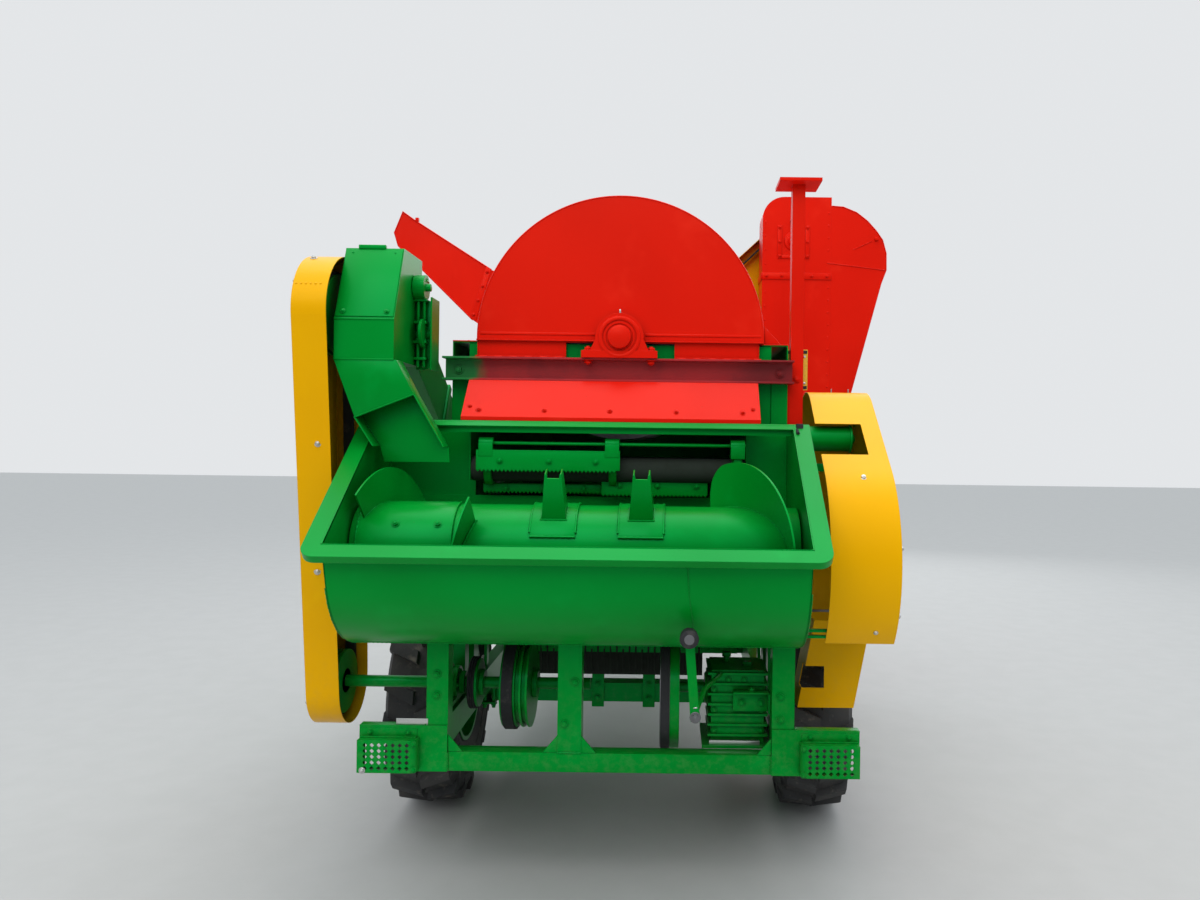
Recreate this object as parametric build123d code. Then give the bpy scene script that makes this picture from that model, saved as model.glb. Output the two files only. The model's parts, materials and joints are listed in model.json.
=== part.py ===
from build123d import *
import math
import os

# Multicrop thresher on two wheels, in millimetres.
# Working frame: X across the machine (right is +), Y forward to the hitch, Z up from the ground,
# with X = 0 at the middle of the machine and Y = 0 over the axle.
# The finished nodes are moved so that the origin lies on the ground under the middle of the whole machine.

# Running gear
TYRE_R = 460.0
TYRE_W = 265.0
TRACK = 1575.0
RIM_R = 205.0
RIM_W = 216.0
LUG_H = 32.0
LUG_COUNT = 18
LUG_W = 50.0
LUG_SWEEP = 62.0
AXLE_BEAM = 80.0
AXLE_BEAM_HALF = 560.0
STUB_R = 30.0
HUB_CLEAR = 0.05
RUN_GAP = 5.0
SEAT = 0.3

# Chassis
RAIL_OUT = 600.0
RAIL_W = 50.0
RAIL_H = 100.0
RAIL_T = 8.0
RAIL_FRONT = 1960.0
BAR_REAR = -920.0
BAR_DEPTH = 65.0
BAR_LOW = 437.0
BAR_HIGH = 502.0
CROSS_BAR = 60.0
CROSS_AT = (450.0, 1180.0, 1900.0)
HITCH_Y = 3300.0
EYE_BORE_R = 26.0
EYE_R = 58.0
EYE_T = 34.0
DRAW_TUBE = 80.0
JACK_Y = 2480.0
JACK_SLEEVE = 76.0
JACK_LEG = 56.0
JACK_CLEAR = 0.1
JACK_LIFT = 280.0
JACK_LOW = 340.0
JACK_TOP = 760.0
JACK_CAP = 12.0
RAIL_LOW = BAR_HIGH - 2.0
RAIL_TOP = RAIL_LOW + RAIL_H
POST_TABLE = ((-612.0, -540.0), (-175.0, -95.0), (540.0, 615.0))
LAMP_PLATE = (540.0, 832.0)
LAMP_TOP = 590.0

# Thresher body
BODY_REAR = -590.0
BODY_FRONT = 1660.0
POST_W = 60.0
POST_OUT = 620.0
POST_TOP = 1845.0
POST_AT = (-590.0, 500.0, 1600.0)
SILL_H = 60.0
SHEET = 4.0
KEEL_HALF = 330.0
DRUM_Z = 1920.0
DRUM_R = 400.0
DRUM_REAR = -520.0
DRUM_FRONT = 1380.0
SHAFT_R = 35.0
COVER_R = 520.0
COVER_TAPER = 330.0
PANEL_LOW = 1050.0
SILL_TOP = POST_TOP + SILL_H
SILL_IN = COVER_R + 6
STRAW_REAR = 1060.0
STRAW_DEPTH = 340.0

# Feeding end
HOPPER_LEFT = -832.0
HOPPER_RIGHT = 618.0
AUGER_Y = -940.0
AUGER_Z = 1190.0
TROUGH_R = 310.0
LIP_Y = -1320.0
LIP_Z = 1200.0
BACK_Y = -780.0
BACK_Z = 1610.0
RIM_FLANGE = 55.0
LIP_DOWN = 26.0
AUGER_TUBE_R = 140.0
AUGER_SHAFT_R = 25.0
FLIGHT_R_LEFT = 258.0
FLIGHT_R_RIGHT = 288.0
FLIGHT_T = 6.0
MOUTH = math.atan2(BACK_Z - LIP_Z, BACK_Y - LIP_Y)
FRONT_IN = (LIP_Y + RIM_FLANGE * math.cos(MOUTH), LIP_Z + RIM_FLANGE * math.sin(MOUTH))
BACK_IN = (BACK_Y - 10.0, BACK_Z - 8.0)
TROUGH_BACK = AUGER_Y + TROUGH_R
FEED_LEFT = -520.0
FEED_RIGHT = 460.0
FEED_LOW = 1340.0
FEED_TOP = 1575.0
CHANNEL_LOW = 1760.0
CHAIN_X = (-463.0, -33.0, 418.0)
CHAIN_W = 22.0
CHAIN_T = 14.0
ROLLER_R = 44.0
ROLLER_Z = 1440.0
ROLLER_REAR = -690.0
ROLLER_FRONT = -500.0
SLAT_TABLE = ((-516.0, 15.0, -778.0, 1448.0, 80.0), (-60.0, 290.0, -706.0, 1334.0, 52.0))
TOOTH = 23.0
SPROCKET_X = 760.0

# Rear lay shaft, its guards and the shaker's cross shaft
LAY_Y = -670.0
LAY_Z = 667.0
LAY_R = 20.5
GUARD_OUT = -1057.0
GUARD_IN = -942.0
GUARD_TOP_Y = -780.0
GUARD_TOP_Z = 1970.0
GUARD_TOP_R = 200.0
GUARD_LOW_R = 146.0
GUARD_T = 3.0
LAY_PULLEY_R = 112.0
TOP_PULLEY_R = 140.0
LAY_BELT_X = -1020.0
DOUBLE_X = -390.0
DOUBLE_R = 152.0
SHAKER_Y = -430.0
SHAKER_Z = 800.0
SHAKER_PULLEY_R = 88.0
GROOVE = 22.0
BELT_DEPTH = 12.0

# Right-hand guard
RIGHT_IN = 713.0
RIGHT_OUT = 943.0
RIGHT_DRIVE = ((-620.0, 1140.0), 400.0)
RIGHT_TOP = ((-420.0, 1530.0), 212.0)
LEG_REAR = -640.0
LEG_FRONT = -478.0

# Front drive: the input shaft turns the drum, and the drum turns the grain elevator's head
ELEV_BELT_Y = 1730.0
MAIN_BELT_Y = 1830.0
ELEV_PULLEY_R = 110.0
HEAD_PULLEY_R = 120.0
DRUM_PULLEY_R = 240.0
INPUT_PULLEY_R = 190.0
INPUT_Z = 880.0
FRONT_GUARD_Y = 1824.0

# Outlets
TOWER_IN = 720.0
TOWER_OUT = 1130.0
TOWER_REAR = 1450.0
TOWER_DEPTH = 200.0
TOWER_TOP = 3010.0
TOWER_LOW = 380.0
HEAD_X = 909.0
HEAD_Z = 2756.0
CASING_L = -935.0
CASING_R = -735.0
HEAD_LOW = 1806.0

# Wheel centre
WHEEL_X = TRACK / 2
AXLE_Z = TYRE_R
CARCASS_R = TYRE_R - LUG_H
FLANGE_X = WHEEL_X - 10
HUB_IN = RAIL_OUT + 12

# Sieve, fan and gearbox
SIEVE_REAR = -280.0
SIEVE_FRONT = 950.0
SIEVE_HALF = 470.0
SIEVE_LOW = 690.0
SIEVE_HIGH = 960.0
FAN_Y = 1250.0
FAN_Z = 862.0
FAN_R = 170.0
GEAR_Y = -700.0
GEAR_Z = 668.0
GEAR_PULLEY_R = 205.0
GEAR_PULLEY_X = 165.0
GEAR_PULLEY_W = 66.0
GEAR_REAR = -830.0
CRANK_Y = -1196.0



def block(x0, x1, y0, y1, z0, z1):
    """Box between two corners."""
    return Pos((x0 + x1) / 2, (y0 + y1) / 2, (z0 + z1) / 2) * Box(x1 - x0, y1 - y0, z1 - z0)


def rod_x(radius, x0, x1, y, z):
    """Cylinder along X."""
    return Pos((x0 + x1) / 2, y, z) * Rot(0, 90, 0) * Cylinder(radius, x1 - x0)


def rod_y(radius, y0, y1, x, z):
    """Cylinder along Y."""
    return Pos(x, (y0 + y1) / 2, z) * Rot(90, 0, 0) * Cylinder(radius, y1 - y0)


def rod_z(radius, z0, z1, x, y):
    """Cylinder along Z."""
    return Pos(x, y, (z0 + z1) / 2) * Cylinder(radius, z1 - z0)


def side_prism(points, x0, x1):
    """Outline of (y, z) points, extruded along X."""
    face = Face(Wire.make_polygon([Vector(x0, y, z) for y, z in points]))
    return Solid.extrude(face, Vector(x1 - x0, 0, 0))


def end_prism(points, y0, y1):
    """Outline of (x, z) points, extruded along Y."""
    face = Face(Wire.make_polygon([Vector(x, y0, z) for x, z in points]))
    return Solid.extrude(face, Vector(0, y1 - y0, 0))


def plan_prism(points, z0, z1):
    """Outline of (x, y) points, extruded along Z."""
    face = Face(Wire.make_polygon([Vector(x, y, z0) for x, y in points]))
    return Solid.extrude(face, Vector(0, 0, z1 - z0))


def fuse(pieces):
    """One shape from several that touch or overlap."""
    whole = pieces[0]
    for piece in pieces[1:]:
        whole = whole + piece
    return whole


def tangent_quad(c1, r1, c2, r2):
    """Corners of the straight sides that join two circles on the outside."""
    du = c2[0] - c1[0]
    dv = c2[1] - c1[1]
    span = math.hypot(du, dv)
    turn = math.atan2(dv, du)
    spread = math.acos((r1 - r2) / span)
    corners = []
    for centre, radius, side in ((c1, r1, 1), (c2, r2, 1), (c2, r2, -1), (c1, r1, -1)):
        angle = turn + side * spread
        corners.append((centre[0] + radius * math.cos(angle), centre[1] + radius * math.sin(angle)))
    return corners


def belt_form(c1, r1, c2, r2, low, high, along):
    """Solid bounded by two circles and their outer tangents, in the YZ plane (along X) or XZ plane (along Y)."""
    quad = tangent_quad(c1, r1, c2, r2)
    if along == "x":
        body = side_prism(quad, low, high)
        ends = [rod_x(r1, low, high, *c1), rod_x(r2, low, high, *c2)]
    else:
        body = end_prism(quad, low, high)
        ends = [rod_y(r1, low, high, *c1), rod_y(r2, low, high, *c2)]
    return body + ends[0] + ends[1]


def mirror_x(shape):
    """The same shape on the other side of the machine."""
    return mirror(shape, about=Plane.YZ)


# Running gear, modelled for the right-hand side
def tyre():
    """Ribbed-wall tyre with staggered chevron lugs, hollow over the rim."""
    half = TYRE_W / 2
    section = [
        (RIM_R, half - 28), (RIM_R + 40, half - 14), (RIM_R + 110, half), (CARCASS_R - 45, half - 4),
        (CARCASS_R - 12, half - 22), (CARCASS_R, 30), (CARCASS_R, -30), (CARCASS_R - 12, 22 - half),
        (CARCASS_R - 45, 4 - half), (RIM_R + 110, -half), (RIM_R + 40, 14 - half), (RIM_R, 28 - half),
        (RIM_R, 48 - half), (RIM_R + 45, 40 - half), (CARCASS_R - 40, 40 - half),
        (CARCASS_R - 40, half - 40), (RIM_R + 45, half - 40), (RIM_R, half - 48),
    ]
    face = Face(Wire.make_polygon([Vector(x, 0, r) for r, x in section]))
    carcass = Solid.revolve(face, 360, Axis.X)
    shoulder = [
        (CARCASS_R - 60, half - 2), (CARCASS_R - 34, half + 0.0), (TYRE_R - 14, half - 12), (TYRE_R, 0),
        (TYRE_R - 14, 12 - half), (CARCASS_R - 34, -half), (CARCASS_R - 60, 2 - half),
    ]
    crown = Solid.revolve(Face(Wire.make_polygon([Vector(x, 0, r) for r, x in shoulder])), 360, Axis.X)
    plan = [(3, -LUG_W / 2), (half + 5, LUG_SWEEP - LUG_W / 2), (half + 5, LUG_SWEEP + LUG_W * 0.3), (3, LUG_W / 2)]
    lug = plan_prism(plan, CARCASS_R - 70, TYRE_R + 5) & crown
    other = Rot(180 / LUG_COUNT, 0, 0) * mirror_x(lug)
    pitch = 360 / LUG_COUNT
    lugs = []
    for index in range(LUG_COUNT):
        lugs.append(Rot(index * pitch, 0, 0) * lug)
        lugs.append(Rot(index * pitch, 0, 0) * other)
    return Pos(WHEEL_X, 0, AXLE_Z) * carcass.fuse(*lugs)


def rim():
    """Dished steel wheel: drop-centre rim and a disc with hand holes and stud holes."""
    half = RIM_W / 2
    seat = RIM_R - SEAT
    section = [
        (seat - 4, -half - 8), (seat + 12, -half - 8), (seat + 12, -half - 4), (seat, -half - 3),
        (seat, 28 - half), (seat - 24, 48 - half), (seat - 24, half - 48), (seat, half - 28),
        (seat, half + 3), (seat + 12, half + 4), (seat + 12, half + 8), (seat - 4, half + 8),
        (seat - 4, half - 30), (seat - 28, half - 52), (seat - 28, 52 - half), (seat - 4, 30 - half),
    ]
    hoop = Solid.revolve(Face(Wire.make_polygon([Vector(x, 0, r) for r, x in section])), 360, Axis.X)
    disc_in = FLANGE_X - WHEEL_X
    disc = rod_x(seat - 26, disc_in, disc_in + 8, 0, 0) - rod_x(48, disc_in - 1, disc_in + 9, 0, 0)
    for index in range(6):
        disc = disc - Rot(index * 60, 0, 0) * rod_x(9, disc_in - 1, disc_in + 9, 0, 76)
        disc = disc - Rot(index * 60 + 30, 0, 0) * rod_x(20, disc_in - 1, disc_in + 9, 0, 132)
    return Pos(WHEEL_X, 0, AXLE_Z) * (hoop + disc)


def hub():
    """Flanged hub with six studs and a closed grease cap, running on the stub axle."""
    barrel = rod_x(56, HUB_IN, FLANGE_X, 0, 0) + rod_x(98, FLANGE_X - 14, FLANGE_X, 0, 0)
    cap = rod_x(47, FLANGE_X, FLANGE_X + 44, 0, 0)
    studs = [Rot(i * 60, 0, 0) * rod_x(8, FLANGE_X - 2, FLANGE_X + 26, 0, 76) for i in range(6)]
    nuts = [Rot(i * 60, 0, 0) * rod_x(13, FLANGE_X + 8, FLANGE_X + 20, 0, 76) for i in range(6)]
    bore = rod_x(STUB_R + HUB_CLEAR, HUB_IN - 1, FLANGE_X + 12, 0, 0)
    return Pos(0, 0, AXLE_Z) * (fuse([barrel, cap] + studs + nuts) - bore)


def axle_beam():
    """Square beam axle with a round stub at each end."""
    top = BAR_HIGH - 2.0
    beam = block(-AXLE_BEAM_HALF, AXLE_BEAM_HALF, -AXLE_BEAM / 2, AXLE_BEAM / 2, top - AXLE_BEAM, top)
    stub = rod_x(STUB_R, AXLE_BEAM_HALF, FLANGE_X + 4, 0, AXLE_Z)
    return beam + stub + mirror_x(stub)


def chassis_rails():
    """Two channel rails, open to the outside."""
    start = BAR_REAR + BAR_DEPTH
    inner = RAIL_OUT - RAIL_W
    outline = [
        (inner, RAIL_LOW), (RAIL_OUT, RAIL_LOW), (RAIL_OUT, RAIL_LOW + RAIL_T), (inner + RAIL_T, RAIL_LOW + RAIL_T),
        (inner + RAIL_T, RAIL_TOP - RAIL_T), (RAIL_OUT, RAIL_TOP - RAIL_T), (RAIL_OUT, RAIL_TOP), (inner, RAIL_TOP),
    ]
    rail = end_prism(outline, start, RAIL_FRONT)
    return [rail, mirror_x(rail)]


def cross_members():
    """Square tubes between the rails."""
    inner = RAIL_OUT - RAIL_W
    low = RAIL_LOW + 20
    return [block(-inner, inner, y, y + CROSS_BAR, low, low + CROSS_BAR) for y in CROSS_AT]


def drawbar():
    """A-frame of two tubes from the rails' front ends to the eye, with its front plate and jack bracket."""
    low = RAIL_LOW + 20
    top = low + DRAW_TUBE
    nose = HITCH_Y - 190
    plate = block(-RAIL_OUT, RAIL_OUT, RAIL_FRONT, RAIL_FRONT + 12, RAIL_LOW, RAIL_TOP)
    half = DRAW_TUBE / 2
    side = [
        (RAIL_OUT - 150, RAIL_FRONT + 12), (RAIL_OUT - 60, RAIL_FRONT + 12), (half + 34, nose), (half - 36, nose),
    ]
    arm = plan_prism(side, low, top)
    nose_block = block(-half, half, nose - 60, nose + 60, low, top)
    reach = side[1][0] + (side[2][0] - side[1][0]) * (JACK_Y - side[1][1]) / (side[2][1] - side[1][1])
    tie = block(-reach + 30, reach - 30, JACK_Y - 60, JACK_Y - JACK_SLEEVE / 2, low + 10, top - 10)
    return fuse([plate, arm, mirror_x(arm), nose_block, tie])


def hitch_eye():
    """Forged eye with its shank, bolted to the drawbar's nose."""
    mid = RAIL_LOW + 20 + DRAW_TUBE / 2
    start = HITCH_Y - 130
    shank = block(-30, 30, start, HITCH_Y - 20, mid - EYE_T / 2, mid + EYE_T / 2)
    flange = block(-40, 40, start, start + 18, mid - 38, mid + 38)
    ring = rod_z(EYE_R, mid - EYE_T / 2, mid + EYE_T / 2, 0, HITCH_Y)
    bore = rod_z(EYE_BORE_R, mid - EYE_T, mid + EYE_T, 0, HITCH_Y)
    return fuse([flange, shank, ring]) - bore


def jack_sleeve():
    """Square sleeve on the drawbar tie, with a screw housing and crank on top."""
    half = JACK_SLEEVE / 2
    bore = JACK_LEG / 2 + JACK_CLEAR
    sleeve = block(-half, half, JACK_Y - half, JACK_Y + half, JACK_LOW, JACK_TOP)
    sleeve = sleeve - block(-bore, bore, JACK_Y - bore, JACK_Y + bore, JACK_LOW - 1, JACK_TOP - JACK_CAP)
    head = rod_z(30, JACK_TOP, JACK_TOP + 40, 0, JACK_Y)
    crank = rod_x(9, -20, 150, JACK_Y, JACK_TOP + 28) + rod_z(14, JACK_TOP + 20, JACK_TOP + 120, 150, JACK_Y)
    return fuse([sleeve, head, crank])


def jack_leg():
    """Square leg with a round foot on the ground."""
    half = JACK_LEG / 2
    leg = block(-half, half, JACK_Y - half, JACK_Y + half, 10, JACK_TOP - JACK_CAP - JACK_LIFT - 10)
    foot = rod_z(95, 0, 12, 0, JACK_Y)
    return leg + foot


def rear_bar():
    """Square bar across the rear, with a lamp bracket plate beyond each end."""
    left = POST_TABLE[0][1]
    right = POST_TABLE[2][0]
    bar = block(left, right, BAR_REAR, BAR_REAR + BAR_DEPTH, BAR_LOW, BAR_HIGH)
    plate_r = block(LAMP_PLATE[0], LAMP_PLATE[1], BAR_REAR - 6, BAR_REAR, BAR_LOW, LAMP_TOP)
    lip_r = block(POST_TABLE[2][1] + 3, LAMP_PLATE[1], BAR_REAR, BAR_REAR + 30, LAMP_TOP - 4, LAMP_TOP)
    right_side = plate_r + lip_r
    return fuse([bar, right_side, mirror_x(right_side)])


def rear_posts():
    """Three posts from the bar to the hopper."""
    posts = []
    y1 = BAR_REAR + BAR_DEPTH
    trough_low = AUGER_Z - TROUGH_R - SHEET
    for index, (x0, x1) in enumerate(POST_TABLE):
        z0 = BAR_HIGH if index == 1 else BAR_LOW
        posts.append(block(x0, x1, BAR_REAR, y1, z0, trough_low + 40))
    trough = rod_x(TROUGH_R + SHEET + SEAT, -900, 900, AUGER_Y, AUGER_Z)
    return [post - trough for post in posts]


def lamp_guards():
    """Perforated guards over the tail lamps, with diamond holes in rows."""
    guards = []
    for side in (-1, 1):
        x0 = 632.0
        x1 = 826.0
        z0 = BAR_LOW + 8
        z1 = LAMP_TOP - 44
        y0 = BAR_REAR - 6 - 40
        y1 = BAR_REAR - 6
        shell = block(x0, x1, y0, y1, z0, z1) - block(x0 + 3, x1 - 3, y0 + 3, y1 + 1, z0 + 3, z1 - 3)
        holes = []
        step_x = 24.0
        step_z = 19.0
        for row in range(4):
            for col in range(7):
                x = x0 + 26 + col * step_x + (row % 2) * step_x / 2
                z = z0 + 22 + row * step_z
                if x < x1 - 18:
                    holes.append((x, z))
        cutters = [end_prism([(x - 8, z), (x, z - 8), (x + 8, z), (x, z + 8)], y0 - 1, y0 + 4) for x, z in holes]
        shell = shell.cut(*cutters)
        strip = block(x0 + 8, x1, y1 - 3, y1, z1, LAMP_TOP - 10)
        guard = shell + strip
        guards.append(guard if side > 0 else mirror_x(guard))
    return guards


# Thresher body
def body_posts():
    """Six square posts on the rails."""
    posts = []
    for y in POST_AT:
        post = block(POST_OUT - POST_W, POST_OUT, y, y + POST_W, RAIL_TOP, POST_TOP)
        posts.extend([post, mirror_x(post)])
    return posts


def top_sills():
    """Angle sills along the tops of the posts, which carry the drum cover."""
    outline = [
        (SILL_IN, SILL_TOP - SHEET), (POST_OUT - SHEET, SILL_TOP - SHEET), (POST_OUT - SHEET, POST_TOP),
        (POST_OUT, POST_TOP), (POST_OUT, SILL_TOP), (SILL_IN, SILL_TOP),
    ]
    sill = end_prism(outline, BODY_REAR, BODY_FRONT)
    return [sill, mirror_x(sill)]


def drum_trough():
    """Lower half of the drum housing: a half-round casing on flat walls, closed at both ends by walls."""
    wall_x = POST_OUT - POST_W - 1
    top = SILL_TOP - SHEET - 1
    low = PANEL_LOW
    y0 = BODY_REAR + 4
    y1 = BODY_FRONT - 4
    bend = FEED_LOW - 40
    outline = [
        (-wall_x, top), (-wall_x, bend), (-KEEL_HALF, low + 60), (-KEEL_HALF, low), (KEEL_HALF, low),
        (KEEL_HALF, low + 60), (wall_x, bend), (wall_x, top),
    ]
    skin = 5.0
    wall_in = wall_x - skin
    keel_in = KEEL_HALF - skin
    inside = [
        (-wall_in, top + 1), (-wall_in, bend + 3), (-keel_in, low + 63), (-keel_in, low - 1), (keel_in, low - 1),
        (keel_in, low + 63), (wall_in, bend + 3), (wall_in, top + 1),
    ]
    casing = end_prism(outline, y0, y1) - end_prism(inside, y0 + skin, y1 - skin)
    notch = block(-55, 55, y0 - 1, y1 + 1, DRUM_Z - 55, DRUM_Z + 20)
    throat = block(FEED_LEFT, FEED_RIGHT, y0 - 1, y0 + skin + 1, FEED_LOW, FEED_TOP)
    return casing - notch - throat


def body_panels():
    """Side panels between the posts, with a raised service cover on each."""
    panels = []
    low = RAIL_TOP + 330
    top = POST_TOP - 20
    for y0, y1 in ((POST_AT[0] + POST_W, POST_AT[1]), (POST_AT[1] + POST_W, POST_AT[2])):
        x0 = POST_OUT - 24
        sheet = block(x0, x0 + 3, y0 + SEAT, y1 - SEAT, low, top)
        raised = block(x0 + 3, x0 + 20, y0 + 120, y1 - 120, low + 110, top - 140)
        raised = fillet(raised.edges().filter_by(Axis.X), 40)
        panel = sheet + raised
        panels.extend([panel, mirror_x(panel)])
    return panels


def arch(radius, y, flat, facets=6):
    """Facetted half-round outline as (x, z) points on the drum centre, with its foot at the sill."""
    points = [(radius, SILL_TOP + flat), (radius, DRUM_Z)]
    for index in range(1, facets):
        angle = math.pi * index / facets
        points.append((radius * math.cos(angle), DRUM_Z + radius * math.sin(angle)))
    points.extend([(-radius, DRUM_Z), (-radius, SILL_TOP + flat)])
    return [Vector(x, y, z) for x, z in points]


def drum_cover():
    """Facetted cover over the drum: full height at the rear, sloping down at the front, with foot flanges."""
    skin = 3.0
    y0 = BODY_REAR - 4 + SEAT
    y1 = BODY_FRONT - COVER_TAPER
    y2 = BODY_FRONT
    outer = Solid.extrude(Face(Wire.make_polygon(arch(COVER_R, y0, 0.0))), Vector(0, y1 - y0, 0))
    inner = Solid.extrude(Face(Wire.make_polygon(arch(COVER_R - skin, y0 + skin, -1.0))), Vector(0, y1 - y0, 0))
    slope = COVER_R * math.tan(math.radians(32))
    wedge = [(y1 - 1, DRUM_Z + COVER_R + 5), (y2 + 5, DRUM_Z + COVER_R - slope * COVER_TAPER / COVER_R - 5)]
    nose = Solid.extrude(Face(Wire.make_polygon(arch(COVER_R, y1, 0.0))), Vector(0, y2 - y1, 0))
    cut = side_prism([wedge[0], wedge[1], (y2 + 5, DRUM_Z + COVER_R + 50), (y1 - 1, DRUM_Z + COVER_R + 50)], -700, 700)
    nose = nose - cut
    hollow = Solid.extrude(Face(Wire.make_polygon(arch(COVER_R - skin, y1 - 1, -1.0))), Vector(0, y2 - y1 - skin + 1, 0))
    cut_in = side_prism(
        [(wedge[0][0], wedge[0][1] - 4), (wedge[1][0], wedge[1][1] - 4), (y2 + 5, DRUM_Z + COVER_R + 50),
         (y1 - 1, DRUM_Z + COVER_R + 50)], -700, 700)
    shell = (outer - inner) + (nose - (hollow - cut_in))
    flange = block(COVER_R - skin, POST_OUT, y0, y2, SILL_TOP, SILL_TOP + 4)
    opening = block(-COVER_R - 1, -COVER_R + 60, STRAW_REAR, STRAW_REAR + STRAW_DEPTH, DRUM_Z + 20, DRUM_Z + 200)
    shaft = rod_y(SHAFT_R + 20, y0 - 1, y2 + 1, 0, DRUM_Z) + block(-55, 55, y0 - 1, y2 + 1, SILL_TOP - 2, DRUM_Z)
    return fuse([shell, flange, mirror_x(flange)]) - opening - shaft


def drum_end_plate():
    """Round-topped end plate at the rear with its folded foot and two angle brackets."""
    y1 = BODY_REAR - 4
    y0 = y1 - 6
    disc = rod_y(COVER_R + 8, y0, y1, 0, DRUM_Z) & block(-700, 700, y0 - 1, y1 + 1, DRUM_Z - 7, DRUM_Z + 700)
    foot = block(-COVER_R - 8, COVER_R + 8, y0 - 18, y1, DRUM_Z - 12, DRUM_Z - 7)
    left = block(-COVER_R - 6, -200, y0, y1, POST_TOP + 2, DRUM_Z - 12) + block(
        -COVER_R - 6, -200, y0 - 40, y0, POST_TOP, POST_TOP + 6)
    right = block(200, COVER_R - 10, y0, y1, POST_TOP + 2, DRUM_Z - 12) + block(
        200, COVER_R - 10, y0 - 40, y0, POST_TOP, POST_TOP + 6)
    shaft = rod_y(SHAFT_R + 20, y0 - 30, y1 + 1, 0, DRUM_Z)
    return fuse([disc, foot, left, right]) - shaft


def pillow(y0, y1, base_z):
    """Pillow block for the drum shaft between two Y values, standing on a level."""
    housing = rod_y(88, y0, y1, 0, DRUM_Z)
    base = block(-138, 138, y0 - 4, y1, base_z, base_z + 26)
    web = end_prism([(-110, base_z + 20), (110, base_z + 20), (84, DRUM_Z), (-84, DRUM_Z)], y0, y1)
    body = fuse([housing, base, web])
    body = body & block(-200, 200, y0 - 10, y1 + 10, base_z, DRUM_Z + 200)
    return body - rod_y(SHAFT_R + HUB_CLEAR, y0 - 10, y1 + 10, 0, DRUM_Z)


def drum_bearings():
    """Pillow blocks outside the two end walls."""
    rear = pillow(BODY_REAR - 10 - 62 - 1, BODY_REAR - 10 - 20, POST_TOP)
    front = pillow(BODY_FRONT + 1, BODY_FRONT + 46, POST_TOP)
    return [rear, front]


def drum_rotor():
    """Threshing drum as one plain cylinder on its shaft, with the two front pulleys."""
    drum = rod_y(DRUM_R - 30, DRUM_REAR, DRUM_FRONT, 0, DRUM_Z)
    shaft = rod_y(SHAFT_R, BODY_REAR - 90, MAIN_BELT_Y + 70, 0, DRUM_Z)
    small = pulley_y(ELEV_PULLEY_R, ELEV_BELT_Y, 2, 0, DRUM_Z)
    large = pulley_y(DRUM_PULLEY_R, MAIN_BELT_Y, 3, 0, DRUM_Z)
    return fuse([drum, shaft, small, large])


def pulley_y(radius, y, grooves, x, z):
    """Pulley on a Y shaft with belt grooves, starting at y."""
    width = GROOVE * grooves + 8
    wheel = rod_y(radius, y, y + width, x, z)
    for index in range(grooves):
        start = y + 4 + index * GROOVE + 4
        ring = rod_y(radius + 1, start, start + GROOVE - 8, x, z) - rod_y(radius - BELT_DEPTH, start, start + GROOVE, x, z)
        wheel = wheel - ring
    return wheel


def pulley_x(radius, x, grooves, y, z):
    """Pulley on an X shaft with belt grooves, starting at x."""
    width = GROOVE * grooves + 8
    wheel = rod_x(radius, x, x + width, y, z)
    for index in range(grooves):
        start = x + 4 + index * GROOVE + 4
        ring = rod_x(radius + 1, start, start + GROOVE - 8, y, z) - rod_x(radius - BELT_DEPTH, start, start + GROOVE, y, z)
        wheel = wheel - ring
    return wheel


def input_shaft():
    """Main input shaft with its pulley and splined end."""
    z = INPUT_Z
    shaft = rod_y(26, 1560, 2050, 0, z)
    spline = rod_y(17.5, 2050, 2130, 0, z)
    wheel = pulley_y(INPUT_PULLEY_R, MAIN_BELT_Y, 3, 0, z)
    return fuse([shaft, spline, wheel])


def input_bearings():
    """Two bearing blocks under the input shaft, on plates from the front cross member."""
    pieces = []
    for y0, y1 in ((1580.0, 1630.0), (1700.0, 1750.0)):
        block_body = block(-70, 70, y0, y1, INPUT_Z - 70, INPUT_Z + 60)
        stand = block(-90, 90, y0 - 10, y1 + 10, INPUT_Z - 90, INPUT_Z - 70)
        bore = rod_y(26 + HUB_CLEAR, y0 - 1, y1 + 1, 0, INPUT_Z)
        pieces.append(block_body + stand - bore)
    deck = block(-130, 130, 1560, 1780, INPUT_Z - 102, INPUT_Z - 90)
    legs = block(-130, -118, 1560, 1780, RAIL_TOP + 10, INPUT_Z - 102)
    reach = POST_OUT - POST_W - 1
    beam = block(-reach, reach, 1620, 1720, RAIL_TOP, RAIL_TOP + 10)
    return fuse(pieces + [deck, legs, mirror_x(legs), beam])


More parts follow.
